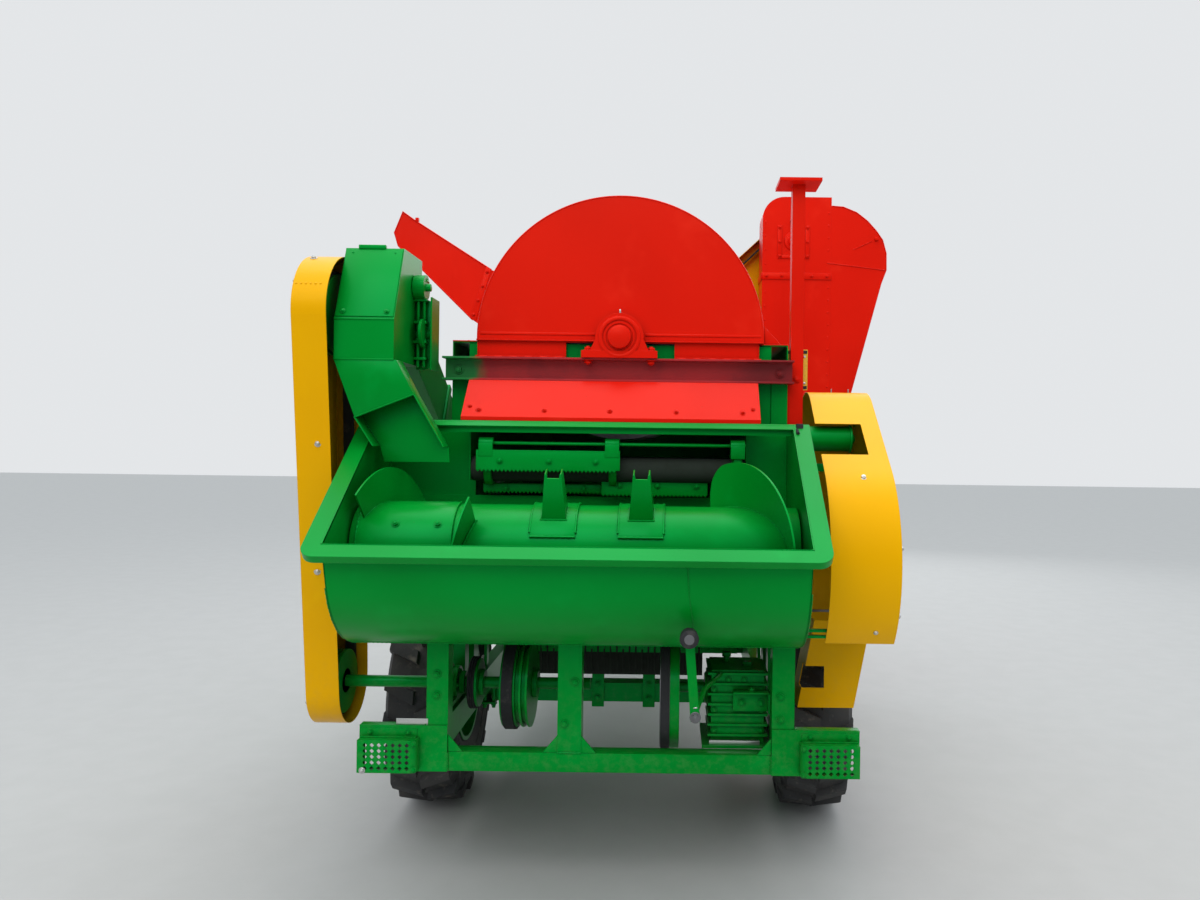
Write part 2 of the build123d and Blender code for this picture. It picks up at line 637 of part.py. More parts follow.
def drive_belts():
    """Belts drawn tight round their pulleys, each a closed loop in its grooves' planes."""
    loops = []
    inset = 0.5
    width = GROOVE * 3 - 6
    rows = (
        ((0.0, INPUT_Z), INPUT_PULLEY_R, (0.0, DRUM_Z), DRUM_PULLEY_R, MAIN_BELT_Y + 7, width, "y"),
        ((0.0, DRUM_Z), ELEV_PULLEY_R, (HEAD_X, HEAD_Z), HEAD_PULLEY_R, ELEV_BELT_Y + 7, GROOVE * 2 - 6, "y"),
        ((LAY_Y, LAY_Z), LAY_PULLEY_R, (GUARD_TOP_Y, GUARD_TOP_Z), TOP_PULLEY_R, LAY_BELT_X + 7, GROOVE * 2 - 6, "x"),
        ((LAY_Y, LAY_Z), DOUBLE_R, (SHAKER_Y, SHAKER_Z), SHAKER_PULLEY_R, DOUBLE_X + 7, GROOVE * 2 - 6, "x"),
    )
    for c1, r1, c2, r2, start, wide, along in rows:
        outside = belt_form(c1, r1 + inset + 8, c2, r2 + inset + 8, start, start + wide, along)
        inside = belt_form(c1, r1 + inset, c2, r2 + inset, start - 1, start + wide + 1, along)
        loops.append(outside - inside)
    return loops


# Feeding end
def tangent_point(px, py, cx, cy, radius, side):
    """Point where a line from (px, py) touches a circle."""
    away = math.hypot(px - cx, py - cy)
    base = math.atan2(py - cy, px - cx)
    spread = math.acos(radius / away)
    angle = base + side * spread
    return (cx + radius * math.cos(angle), cy + radius * math.sin(angle)), angle


def trough_line(radius, grow, back_top):
    """Open outline of the trough from the front lip round to its back wall."""
    start = (FRONT_IN[0] - grow, FRONT_IN[1])
    touch, angle = tangent_point(start[0], start[1], AUGER_Y, AUGER_Z, radius, 1)
    points = [start, touch]
    steps = 10
    end_angle = 2 * math.pi
    for index in range(1, steps + 1):
        turn = angle + (end_angle - angle) * index / steps
        points.append((AUGER_Y + radius * math.cos(turn), AUGER_Z + radius * math.sin(turn)))
    points.append((AUGER_Y + radius, back_top))
    return points


def hopper():
    """Feed hopper: curved trough, end walls, and a flanged rim in a tilted plane with a turned-down lip."""
    x0 = HOPPER_LEFT
    x1 = HOPPER_RIGHT
    outer = trough_line(TROUGH_R + SHEET, SHEET, FEED_LOW)
    inner = trough_line(TROUGH_R, 0.0, FEED_LOW)
    ring = outer + list(reversed(inner))
    sheet = side_prism(ring, x0, x1)
    wall = outer + [(AUGER_Y + TROUGH_R + SHEET, BACK_Z - 40), (BACK_IN[0] + 10, BACK_Z - 10), BACK_IN]
    left_wall = side_prism(wall, x0, x0 + SHEET)
    right_wall = side_prism(wall, x1 - SHEET, x1)
    bore = rod_x(AUGER_SHAFT_R + 6, x0 - 5, x1 + 5, AUGER_Y, AUGER_Z)
    walls = (left_wall + right_wall) - bore
    cos_m = math.cos(MOUTH)
    sin_m = math.sin(MOUTH)
    t = 5.0

    def strip(d0, d1):
        """Outline of a strip in the mouth plane, between two distances from the front lip."""
        a = (LIP_Y + d0 * cos_m, LIP_Z + d0 * sin_m)
        b = (LIP_Y + d1 * cos_m, LIP_Z + d1 * sin_m)
        return [a, b, (b[0] + t * sin_m, b[1] - t * cos_m), (a[0] + t * sin_m, a[1] - t * cos_m)]

    length = math.hypot(BACK_Y - LIP_Y, BACK_Z - LIP_Z)
    front = side_prism(strip(0, RIM_FLANGE), x0 - RIM_FLANGE, x1 + RIM_FLANGE)
    back = side_prism(strip(length - 30, length), x0 - RIM_FLANGE, x1 + RIM_FLANGE)
    left = side_prism(strip(0, length), x0 - RIM_FLANGE, x0 + SHEET)
    right = side_prism(strip(0, length), x1 - SHEET, x1 + RIM_FLANGE)
    lip = block(x0 - RIM_FLANGE, x1 + RIM_FLANGE, LIP_Y, LIP_Y + t, LIP_Z - LIP_DOWN, LIP_Z - 1)
    header = block(x0, x1, BACK_Y - 6, BACK_Y - 2, FEED_TOP - 6, BACK_Z - 4)
    back_left = block(x0, FEED_LEFT, TROUGH_BACK, TROUGH_BACK + SHEET, FEED_LOW, BACK_Z - 40)
    back_right = block(FEED_RIGHT, x1, TROUGH_BACK, TROUGH_BACK + SHEET, FEED_LOW, BACK_Z - 40)
    return fuse([sheet, walls, front, back, left, right, lip, header, back_left, back_right])


def feeder_housing():
    """Box throat between the hopper and the drum housing, with the top shaft's hub on its right."""
    y0 = TROUGH_BACK + SHEET + SEAT
    y1 = BODY_REAR + 4 - SEAT
    wall = 3.0
    box = block(FEED_LEFT - wall, FEED_RIGHT + wall, y0, y1, FEED_LOW - wall, FEED_TOP + wall)
    box = box - block(FEED_LEFT, FEED_RIGHT, y0 - 1, y1 + 1, FEED_LOW, FEED_TOP)
    cheeks = [
        block(x, x + wall, ROLLER_REAR - 45, ROLLER_FRONT + 60, ROLLER_Z - 40, FEED_TOP)
        for x in (FEED_LEFT, FEED_RIGHT - wall)
    ]
    return fuse([box] + cheeks)


def feeder_slats():
    """Slat conveyor as a fixed loop: two rollers, three chains and toothed slats, with the top shaft's hub."""
    pieces = [
        rod_x(ROLLER_R, FEED_LEFT + 3 + SEAT, FEED_RIGHT - 3 - SEAT, ROLLER_REAR, ROLLER_Z),
        rod_x(ROLLER_R, FEED_LEFT + 3 + SEAT, FEED_RIGHT - 3 - SEAT, ROLLER_FRONT, ROLLER_Z),
    ]
    rear = (ROLLER_REAR, ROLLER_Z)
    front = (ROLLER_FRONT, ROLLER_Z)
    for x in CHAIN_X:
        low = x - CHAIN_W / 2
        high = x + CHAIN_W / 2
        loop = belt_form(rear, ROLLER_R + CHAIN_T, front, ROLLER_R + CHAIN_T, low, high, "x")
        pieces.append(loop - belt_form(rear, ROLLER_R - 1, front, ROLLER_R - 1, low - 1, high + 1, "x"))
    for x0, x1, y, z, height in SLAT_TABLE:
        pieces.append(block(x0, x1, y, y + 34, z, z + height))
        count = int((x1 - x0) // TOOTH)
        teeth = [(x0, z)]
        for index in range(count):
            teeth.append((x0 + (index + 0.5) * TOOTH, z - 12))
            teeth.append((x0 + (index + 1) * TOOTH, z))
        teeth.extend([(x0 + count * TOOTH, z + 6), (x0, z + 6)])
        pieces.append(end_prism(teeth, y, y + 6))
    return fuse(pieces)


def helix_flight(inner, outer, x0, pitch, turns, start, hand, steps=14):
    """Screw flight as a facetted ribbon of constant thickness."""
    count = max(3, round(steps * turns))
    rings = []
    for index in range(count + 1):
        part = index / count
        angle = start + hand * 2 * math.pi * turns * part
        x = x0 + pitch * turns * part
        c = math.cos(angle)
        s = math.sin(angle)
        rings.append([
            Vector(x, inner * c, inner * s), Vector(x + FLIGHT_T, inner * c, inner * s),
            Vector(x + FLIGHT_T, outer * c, outer * s), Vector(x, outer * c, outer * s),
        ])
    faces = []
    for near, far in zip(rings[:-1], rings[1:]):
        for k in range(4):
            a, b = near[k], near[(k + 1) % 4]
            c, d = far[(k + 1) % 4], far[k]
            faces.append(Face(Wire.make_polygon([a, b, c])))
            faces.append(Face(Wire.make_polygon([a, c, d])))
    faces.append(Face(Wire.make_polygon(rings[0])))
    faces.append(Face(Wire.make_polygon(rings[-1])))
    return Solid(Shell(faces))


def feed_auger():
    """Auger tube with a flight at each end and two tapered paddles in the middle, on one shaft."""
    x0 = HOPPER_LEFT + SHEET + RUN_GAP
    x1 = HOPPER_RIGHT - SHEET - RUN_GAP
    tube = rod_x(AUGER_TUBE_R, x0, x1, 0, 0)
    shaft = rod_x(AUGER_SHAFT_R, HOPPER_LEFT - 70, SPROCKET_X + 40, 0, 0)
    left = helix_flight(AUGER_TUBE_R - 8, FLIGHT_R_LEFT, x0, 430.0, 1.1, 0.6, 1)
    right = helix_flight(AUGER_TUBE_R - 8, FLIGHT_R_RIGHT, 300.0, 380.0, 0.75, 2.4, -1)
    sprocket = rod_x(62, SPROCKET_X, SPROCKET_X + 12, 0, 0)
    pieces = [tube, shaft, left, right, sprocket]
    for x in (-125.0, 85.0):
        outline = [(x - 42, AUGER_TUBE_R - 12), (x + 42, AUGER_TUBE_R - 12), (x + 24, 262), (x - 24, 262)]
        pieces.append(Rot(-28, 0, 0) * end_prism(outline, -18, 18))
    return Pos(0, AUGER_Y, AUGER_Z) * fuse(pieces)


def auger_bearings():
    """Flange bearings on the outside of the hopper's end walls."""
    pieces = []
    for x0, x1 in ((HOPPER_LEFT - 40, HOPPER_LEFT), (HOPPER_RIGHT, HOPPER_RIGHT + 40)):
        near = x1 - 12 if x0 < 0 else x0
        body = rod_x(48, x0, x1, AUGER_Y, AUGER_Z) + rod_x(66, near, near + 12, AUGER_Y, AUGER_Z)
        pieces.append(body - rod_x(AUGER_SHAFT_R + HUB_CLEAR, x0 - 1, x1 + 1, AUGER_Y, AUGER_Z))
    return pieces


def cross_channel():
    """Channel across the rear of the body, open to the rear."""
    y1 = BODY_REAR
    y0 = y1 - 62
    z0 = CHANNEL_LOW
    z1 = POST_TOP
    outline = [(y0, z1), (y1, z1), (y1, z0), (y0, z0), (y0, z0 + 7), (y1 - 7, z0 + 7), (y1 - 7, z1 - 7), (y0, z1 - 7)]
    return side_prism(outline, -644.0, 636.0)


def feed_apron():
    """Sloping sheet from the channel down to the hopper's back rim."""
    x0 = -545.0
    x1 = 505.0
    top = (BODY_REAR - 62.0, CHANNEL_LOW - SEAT)
    foot = (BACK_Y + 8.0, BACK_Z + 14.0)
    outline = [top, (top[0] + 4, top[1]), (foot[0] + 4, foot[1] + 2), (foot[0] + 4, BACK_Z + 0.5), (foot[0], BACK_Z + 0.5),
               foot]
    return side_prism(outline, x0, x1)


# Lay shaft
def lay_shaft():
    """Tube shaft with the guard pulley, a small belt pulley and a double pulley."""
    shaft = rod_x(LAY_R, -1040.0, -88.0, LAY_Y, LAY_Z)
    outer = pulley_x(LAY_PULLEY_R, LAY_BELT_X, 2, LAY_Y, LAY_Z)
    small = rod_x(84, -518.0, -484.0, LAY_Y, LAY_Z)
    double = pulley_x(DOUBLE_R, DOUBLE_X, 4, LAY_Y, LAY_Z)
    return fuse([shaft, outer, small, double])


def lay_bearings():
    """Bearing housings on plates from the left and middle posts."""
    pieces = []
    y1 = LAY_Y + 60
    for x0, x1 in ((-606.0, -560.0), (-165.0, -119.0)):
        plate = block(x0, x1, BAR_REAR + BAR_DEPTH + SEAT, y1, LAY_Z - 60, LAY_Z - 44)
        housing = rod_x(58, x0, x1, LAY_Y, LAY_Z)
        web = block(x0 + 10, x1 - 10, BAR_REAR + BAR_DEPTH + SEAT, LAY_Y, LAY_Z - 50, LAY_Z + 40)
        pieces.append(fuse([plate, housing, web]) - rod_x(LAY_R + HUB_CLEAR, x0 - 1, x1 + 1, LAY_Y, LAY_Z))
    return pieces


def guard_shell(c1, r1, c2, r2, low, high, along, plate_side):
    """Belt guard: a band round two circles with one outer plate, open on the other side."""
    outside = belt_form(c1, r1, c2, r2, low, high, along)
    if plate_side == "low":
        inside = belt_form(c1, r1 - GUARD_T, c2, r2 - GUARD_T, low + GUARD_T, high + 1, along)
    else:
        inside = belt_form(c1, r1 - GUARD_T, c2, r2 - GUARD_T, low - 1, high - GUARD_T, along)
    return outside - inside


def left_guard():
    """Long belt guard on the left, with stays to the return casing and the hopper."""
    shell = guard_shell((LAY_Y, LAY_Z), GUARD_LOW_R, (GUARD_TOP_Y, GUARD_TOP_Z), GUARD_TOP_R,
                        GUARD_OUT, GUARD_IN, "x", "low")
    stay = block(GUARD_OUT + 2, CASING_L - SEAT, GUARD_TOP_Y + 60, GUARD_TOP_Y + 72, GUARD_TOP_Z + 158,
                 GUARD_TOP_Z + 210) & belt_form((LAY_Y, LAY_Z), GUARD_LOW_R, (GUARD_TOP_Y, GUARD_TOP_Z), GUARD_TOP_R,
                                                GUARD_OUT, CASING_L, "x")
    low_stay = block(GUARD_OUT + 2, HOPPER_LEFT - SEAT, -760.0, -742.0, 1000.0, 1030.0)
    return fuse([shell, stay, low_stay])


def right_guard():
    """Large guard on the right, round the auger and feeder drives, with a narrow leg below it."""
    shells = []
    for grow, low, high in ((0.0, RIGHT_IN, RIGHT_OUT), (GUARD_T, RIGHT_IN - 1, RIGHT_OUT - GUARD_T)):
        shells.append(belt_form(RIGHT_DRIVE[0], RIGHT_DRIVE[1] - grow, RIGHT_TOP[0], RIGHT_TOP[1] - grow, low, high, "x"))
    shell = shells[0] - shells[1]
    outer = [(704, 800), (910, 800), (869, 582), (664, 582)]
    inner = [(703, 801), (910 - GUARD_T, 801), (869 - GUARD_T, 582 + GUARD_T), (663, 582 + GUARD_T)]
    leg = end_prism(outer, LEG_REAR, LEG_FRONT) - end_prism(inner, LEG_REAR + GUARD_T, LEG_FRONT + 1)
    leg = leg - rod_x(RIGHT_DRIVE[1] - GUARD_T, RIGHT_IN - 60, RIGHT_OUT, *RIGHT_DRIVE[0])
    notch = block(RIGHT_IN - 1, RIGHT_IN + 105, -900.0, -560.0, 1490.0, 1625.0)
    notch_low = block(RIGHT_IN - 60, RIGHT_IN + 20, LEG_REAR - 1, LEG_REAR + 60, 640.0, 720.0)
    low_stay = block(HOPPER_RIGHT + SEAT, RIGHT_OUT - 1, -800.0, -782.0, 1000.0, 1030.0)
    top_stay = block(POST_OUT + SEAT, RIGHT_OUT - 1, -575.0, -545.0, 1440.0, 1470.0)
    return fuse([shell, leg, low_stay, top_stay]) - notch - notch_low


# Outlets and returns
def return_elevator():
    """Sloping casing from the low front boot to the head at the rear."""
    head = side_prism([(-820, 2197), (-925, 1940), (-925, HEAD_LOW), (-600, HEAD_LOW), (-600, 2197)], CASING_L, CASING_R)
    base_y = 1560.0
    base_z = 640.0
    top_y = -700.0
    top_z = 1960.0
    run = math.hypot(top_y - base_y, top_z - base_z)
    ny = (top_z - base_z) / run * 95
    nz = -(top_y - base_y) / run * 95
    leg = side_prism([
        (base_y + ny, base_z + nz), (base_y - ny, base_z - nz), (top_y - ny, top_z - nz), (top_y + ny, top_z + nz),
    ], CASING_L + 6, CASING_R - 6)
    boot = rod_x(115, CASING_L + 6, CASING_R - 6, base_y, base_z)
    mid_stay = block(CASING_R - 10, -POST_OUT - SEAT, 510.0, 550.0, 1220.0, 1260.0)
    low_stay = block(CASING_R - 10, -RAIL_OUT - SEAT, 1480.0, 1520.0, 540.0, 580.0)
    return fuse([head, leg, boot, mid_stay, low_stay])


def return_chute():
    """Open-bottomed chute under the return head, with turned edges down its open face."""
    y0 = -925.0
    y1 = -850.0
    skin = 3.0
    top = HEAD_LOW - SEAT
    outer = [(-933, top), (-727, top), (-588, 1470), (-768, 1462)]
    inner = [(-933 + skin, top + 1), (-727 - skin, top + 1), (-588 - skin - 1, 1461), (-768 + skin, 1461)]
    shell = end_prism(outer, y0, y1) - end_prism(inner, y0 + skin, y1 - skin)
    mouth = end_prism([(-880, 1612), (-640, 1706), (-560, 1440), (-800, 1440)], y0 - 1, y0 + skin + 1)
    inside = [(-911, 1802), (-749, 1802), (-610, 1440), (-746, 1440)]
    return shell - (mouth & end_prism(inside, y0 - 2, y0 + 10))


def return_drive():
    """Round-cornered plate beside the return head with its sprockets and shaft."""
    plate = block(CASING_R + 60, CASING_R + 66, -700.0, -600.0, 1790.0, 2050.0)
    stub = rod_x(22, CASING_R + SEAT, CASING_R + 60, -650.0, 1920.0)
    wheel = rod_x(62, CASING_R + 22, CASING_R + 36, -650.0, 1920.0)
    return fuse([plate, stub, wheel])


def grain_elevator():
    """Tall casing on the right front, with a rounded head and a boot at the bottom."""
    y0 = TOWER_REAR
    y1 = TOWER_REAR + TOWER_DEPTH
    body = block(TOWER_IN, TOWER_OUT, y0, y1, TOWER_LOW, TOWER_TOP)
    corner = [e for e in body.edges().filter_by(Axis.Y) if e.center().X < TOWER_IN + 1 and e.center().Z > TOWER_TOP - 1]
    body = fillet(corner, 130)
    shaft = rod_y(22, y1, ELEV_BELT_Y - SEAT, HEAD_X, HEAD_Z)
    stays = [block(POST_OUT + SEAT, TOWER_IN, 1606.0, 1646.0, z, z + 40) for z in (760.0, 1760.0)]
    return fuse([body, shaft] + stays)


def head_pulleys():
    """Head pulleys of the grain elevator and of the return elevator."""
    upper = pulley_y(HEAD_PULLEY_R, ELEV_BELT_Y, 2, HEAD_X, HEAD_Z)
    back = pulley_x(TOP_PULLEY_R, LAY_BELT_X, 2, GUARD_TOP_Y, GUARD_TOP_Z)
    stub = rod_x(22, LAY_BELT_X + 10, CASING_L - SEAT, GUARD_TOP_Y, GUARD_TOP_Z)
    return [upper, back + stub]


def grain_spout():
    """Hood and tapered spout down the outer side of the grain elevator, open at the bottom."""
    y0 = TOWER_REAR
    y1 = TOWER_REAR + TOWER_DEPTH
    x0 = TOWER_OUT
    outer = [(x0, 2960), (x0 + 120, 2930), (x0 + 240, 2850), (x0 + 318, 2740), (x0 + 330, 2580), (x0 + 300, 2500),
             (x0 + 110, 1780), (x0, 1780)]
    inner = [(x0 - 1, 2955), (x0 + 118, 2925), (x0 + 236, 2846), (x0 + 313, 2737), (x0 + 325, 2581),
             (x0 + 295, 2501), (x0 + 104, 1779), (x0 + 5, 1779), (x0 + 5, 2600), (x0 - 1, 2600)]
    return end_prism(outer, y0, y1) - end_prism(inner, y0 + 4, y1 - 4)


def straw_chute():
    """Tapered straw duct thrown up to the left from the front of the cover, open at its end."""
    y0 = STRAW_REAR
    y1 = STRAW_REAR + STRAW_DEPTH
    facet = math.radians(30)
    low_x = -COVER_R * math.cos(facet)
    low_z = DRUM_Z + COVER_R * math.sin(facet)
    gap = SEAT * 1.2
    outer = [(-COVER_R - gap, DRUM_Z + 10), (-916, 2200), (-1333, 2606), (-1355, 2678), (-1310, 2794), (-1249, 2750),
             (-816, 2478), (low_x + 120, low_z + 120 + 2 * gap), (low_x - gap, low_z + gap)]
    inner = [(-COVER_R + 6, DRUM_Z + 20), (-914, 2206), (-1365, 2643), (-1330, 2800), (-1249, 2744), (-816, 2472),
             (low_x + 100, low_z + 90), (low_x + 10, low_z - 5)]
    return end_prism(outer, y0, y1) - end_prism(inner, y0 + 4, y1 - 4)


def sieve_box():
    """Shaker box between the rails on four rocker legs, with ribs on its rear face."""
    pieces = [block(-SIEVE_HALF, SIEVE_HALF, SIEVE_REAR, SIEVE_FRONT, SIEVE_LOW, SIEVE_HIGH)]
    for x in range(-440, 441, 40):
        pieces.append(block(x, x + 14, SIEVE_REAR - 16, SIEVE_REAR, SIEVE_LOW + 16, SIEVE_HIGH - 16))
    for y in (SIEVE_REAR + 100, SIEVE_FRONT - 160):
        for side in (-1, 1):
            inner = side * (SIEVE_HALF - 1)
            outer = side * (RAIL_OUT - RAIL_W + 24)
            pieces.append(block(min(inner, outer), max(inner, outer), y, y + 40, 800, 830))
            leg = side * (RAIL_OUT - RAIL_W + 12)
            pieces.append(block(min(leg, outer), max(leg, outer), y, y + 40, RAIL_TOP + SEAT, 815))
    return fuse(pieces)


def shaker_drive():
    """Cross shaft that rocks the sieve box, in two bearing stands on the rails, with its pulley."""
    reach = RAIL_OUT - RAIL_W + 20
    pieces = [rod_x(20, -reach, reach, SHAKER_Y, SHAKER_Z)]
    pieces.append(rod_x(SHAKER_PULLEY_R, DOUBLE_X, DOUBLE_X + 2 * GROOVE + 8, SHAKER_Y, SHAKER_Z))
    for side in (-1, 1):
        x0 = min(side * (reach - 16), side * (reach + 10))
        pieces.append(block(x0, x0 + 26, SHAKER_Y - 40, SHAKER_Y + 40, RAIL_TOP + SEAT, SHAKER_Z + 40))
        x1 = side * 300.0
        pieces.append(rod_x(46, x1 - 15, x1 + 15, SHAKER_Y + 12, SHAKER_Z))
    return fuse(pieces)


def fan_housing():
    """Round fan housing ahead of the sieve box, with its outlet neck, shaft and two stands on the rails."""
    drum = rod_x(FAN_R, -430, 430, FAN_Y, FAN_Z)
    neck = block(-430, 430, SIEVE_FRONT + 6, FAN_Y, FAN_Z - 90, FAN_Z + 60)
    reach = RAIL_OUT - RAIL_W + 20
    pieces = [drum, neck, rod_x(20, -reach, reach, FAN_Y, FAN_Z)]
    for side in (-1, 1):
        x0 = min(side * (reach - 14), side * (reach + 2))
        pieces.append(block(x0, x0 + 16, FAN_Y - 45, FAN_Y + 45, RAIL_TOP + SEAT, FAN_Z + 45))
    return fuse(pieces)


def gearbox():
    """Ribbed gearbox behind the rear bar on the right, on a base plate between the posts and the rail."""
    x0 = 330.0
    x1 = 536.0
    y0 = GEAR_REAR
    y1 = -620.0
    core = block(x0 + 12, x1 - 12, y0 + 12, y1 - 12, BAR_HIGH + 10, 760)
    ribs = [block(x0, x1, y0, y1, z, z + 8) for z in (535.0, 570.0, 605.0, 640.0, 675.0, 710.0, 745.0)]
    base = block(x0 - 20, RAIL_OUT - RAIL_W, BAR_REAR + BAR_DEPTH, y1 + 10, BAR_HIGH, BAR_HIGH + 10)
    shaft = rod_x(18, GEAR_PULLEY_X + GEAR_PULLEY_W + SEAT, x0 + 20, GEAR_Y, GEAR_Z)
    return fuse([core, base] + ribs + [shaft])


def gearbox_pulley():
    """Large flat pulley on the gearbox's input shaft."""
    wheel = rod_x(GEAR_PULLEY_R, GEAR_PULLEY_X, GEAR_PULLEY_X + GEAR_PULLEY_W, GEAR_Y, GEAR_Z)
    web = rod_x(GEAR_PULLEY_R - 16, GEAR_PULLEY_X - 1, GEAR_PULLEY_X + 24, GEAR_Y, GEAR_Z) - rod_x(
        45, GEAR_PULLEY_X - 2, GEAR_PULLEY_X + 26, GEAR_Y, GEAR_Z)
    return wheel - web


def rod_between(start, end, radius):
    """Round bar from one point to another."""
    a = Vector(*start)
    b = Vector(*end)
    return Solid.make_cylinder(radius, (b - a).length, Plane(origin=a, z_dir=(b - a)))


def crank_handle():
    """Hand crank in front of the gearbox: flat arm with a knob at its top and a bent rod to the gearbox."""
    arm = end_prism([(262, 700), (290, 700), (268, 968), (240, 968)], CRANK_Y - 10, CRANK_Y)
    knob = rod_y(17, CRANK_Y - 60, CRANK_Y - 1, 254, 960)
    boss = rod_y(15, CRANK_Y - 4, CRANK_Y + 32, 276, 714)
    elbow = (312, -990, 742)
    rods = [rod_between((276, CRANK_Y + 26, 714), elbow, 8), Pos(*elbow) * Sphere(8)]
    rods.append(rod_between(elbow, (380, GEAR_REAR + 20, 750), 8))
    return fuse([arm, knob, boss] + rods) - block(200, 500, GEAR_REAR - SEAT, GEAR_REAR + 60, 640, 800)


def marker_pole():
    """Square pole on the right rear post with a cap plate."""
    x0 = POST_OUT + 12
    pole = block(x0, x0 + 47, BODY_REAR + 13, BODY_REAR + 60, 1500, 2505)
    foot = block(POST_OUT, x0, BODY_REAR + 13, BODY_REAR + 60, 1520, 1820)
    cap = block(x0 - 54, x0 + 101, BODY_REAR - 40, BODY_REAR + 112, 2505, 2517)
    return fuse([pole, foot, cap])


def side_marker():
    """Blank marker plate behind the pole."""
    y0 = BODY_REAR + 60
    return block(POST_OUT + SEAT, 702.0, y0 + SEAT, y0 + 4, 1744.0, 1897.0)


def front_guard():
    """Guard over the main belts at the front."""
    shell = guard_shell((0.0, INPUT_Z), INPUT_PULLEY_R + 60, (0.0, DRUM_Z), DRUM_PULLEY_R + 60,
                        FRONT_GUARD_Y, FRONT_GUARD_Y + 100, "y", "high")
    stays = []
    for side in (-1, 1):
        x0 = min(side * 286.0, side * 297.0)
        stays.append(block(x0, x0 + 11, BODY_FRONT - 4 + SEAT, FRONT_GUARD_Y + 3, 1850.0, 1890.0))
    hole = rod_y(40, FRONT_GUARD_Y, FRONT_GUARD_Y + 110, 0, INPUT_Z)
    return fuse([shell] + stays) - hole


def elevator_guard():
    """Sloping guard over the belt from the drum shaft to the grain elevator's head."""
    shell = guard_shell((0.0, DRUM_Z), ELEV_PULLEY_R + 50, (HEAD_X, HEAD_Z), HEAD_PULLEY_R + 50,
                        ELEV_BELT_Y - 8, ELEV_BELT_Y + 74, "y", "high")
    tower_front = TOWER_REAR + TOWER_DEPTH
    stay = block(HEAD_X - 9, HEAD_X + 9, tower_front + SEAT, ELEV_BELT_Y - 6, HEAD_Z + 165, HEAD_Z + 170)
    hole = rod_y(SHAFT_R + 12, ELEV_BELT_Y - 20, ELEV_BELT_Y + 90, 0, DRUM_Z)
    return fuse([shell, stay]) - hole


NODES = {
    "tyre_right": lambda: tyre(),
    "tyre_left": lambda: mirror_x(tyre()),
    "rim_right": lambda: rim(),
    "rim_left": lambda: mirror_x(rim()),
    "hub_right": lambda: hub(),
    "hub_left": lambda: mirror_x(hub()),
    "axle_beam": axle_beam,
    "chassis_rails": chassis_rails,
    "cross_members": cross_members,
    "drawbar": drawbar,
    "hitch_eye": hitch_eye,
    "jack_sleeve": jack_sleeve,
    "jack_leg": jack_leg,
    "rear_bar": rear_bar,
    "rear_posts": rear_posts,
    "lamp_guards": lamp_guards,
    "body_posts": body_posts,
    "top_sills": top_sills,
    "drum_trough": drum_trough,
    "body_panels": body_panels,
    "drum_cover": drum_cover,
    "drum_end_plate": drum_end_plate,
    "drum_bearings": drum_bearings,
    "drum_rotor": drum_rotor,
    "input_shaft": input_shaft,
    "input_bearings": input_bearings,
    "drive_belts": drive_belts,
    "hopper": hopper,
    "feeder_housing": feeder_housing,
    "feeder_slats": feeder_slats,
    "feed_auger": feed_auger,
    "auger_bearings": auger_bearings,
    "cross_channel": cross_channel,
    "feed_apron": feed_apron,
    "lay_shaft": lay_shaft,
    "lay_bearings": lay_bearings,
    "left_guard": left_guard,
    "right_guard": right_guard,
    "return_elevator": return_elevator,
    "return_chute": return_chute,
    "return_drive": return_drive,
    "grain_elevator": grain_elevator,
    "head_pulleys": head_pulleys,
    "grain_spout": grain_spout,
    "straw_chute": straw_chute,
    "sieve_box": sieve_box,
    "shaker_drive": shaker_drive,
    "fan_housing": fan_housing,
    "gearbox": gearbox,
    "gearbox_pulley": gearbox_pulley,
    "crank_handle": crank_handle,
    "marker_pole": marker_pole,
    "side_marker": side_marker,
    "front_guard": front_guard,
    "elevator_guard": elevator_guard,
}


def as_compound(made):
    """One compound from a shape or a list of shapes."""
    pieces = made if isinstance(made, list) else [made]
    solids = []
    for piece in pieces:
        solids.extend(piece.solids())
    return Compound(children=solids)


os.makedirs("parts", exist_ok=True)
built = {name: as_compound(make()) for name, make in NODES.items()}
boxes = [shape.bounding_box() for shape in built.values()]
mid_x = (min(b.min.X for b in boxes) + max(b.max.X for b in boxes)) / 2
mid_y = (min(b.min.Y for b in boxes) + max(b.max.Y for b in boxes)) / 2
for name, shape in built.items():
    export_step(Pos(-mid_x, -mid_y, 0) * shape, "parts/" + name + ".step")
print("origin shift", round(mid_x, 3), round(mid_y, 3))
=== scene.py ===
"""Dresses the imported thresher: finishes, forms that show some solids in more detail, fasteners, welds and trim."""

import json
import logging
import math
from dataclasses import dataclass, field
from enum import Enum
from typing import Iterable, Sequence

import bpy
from mathutils import Matrix, Vector


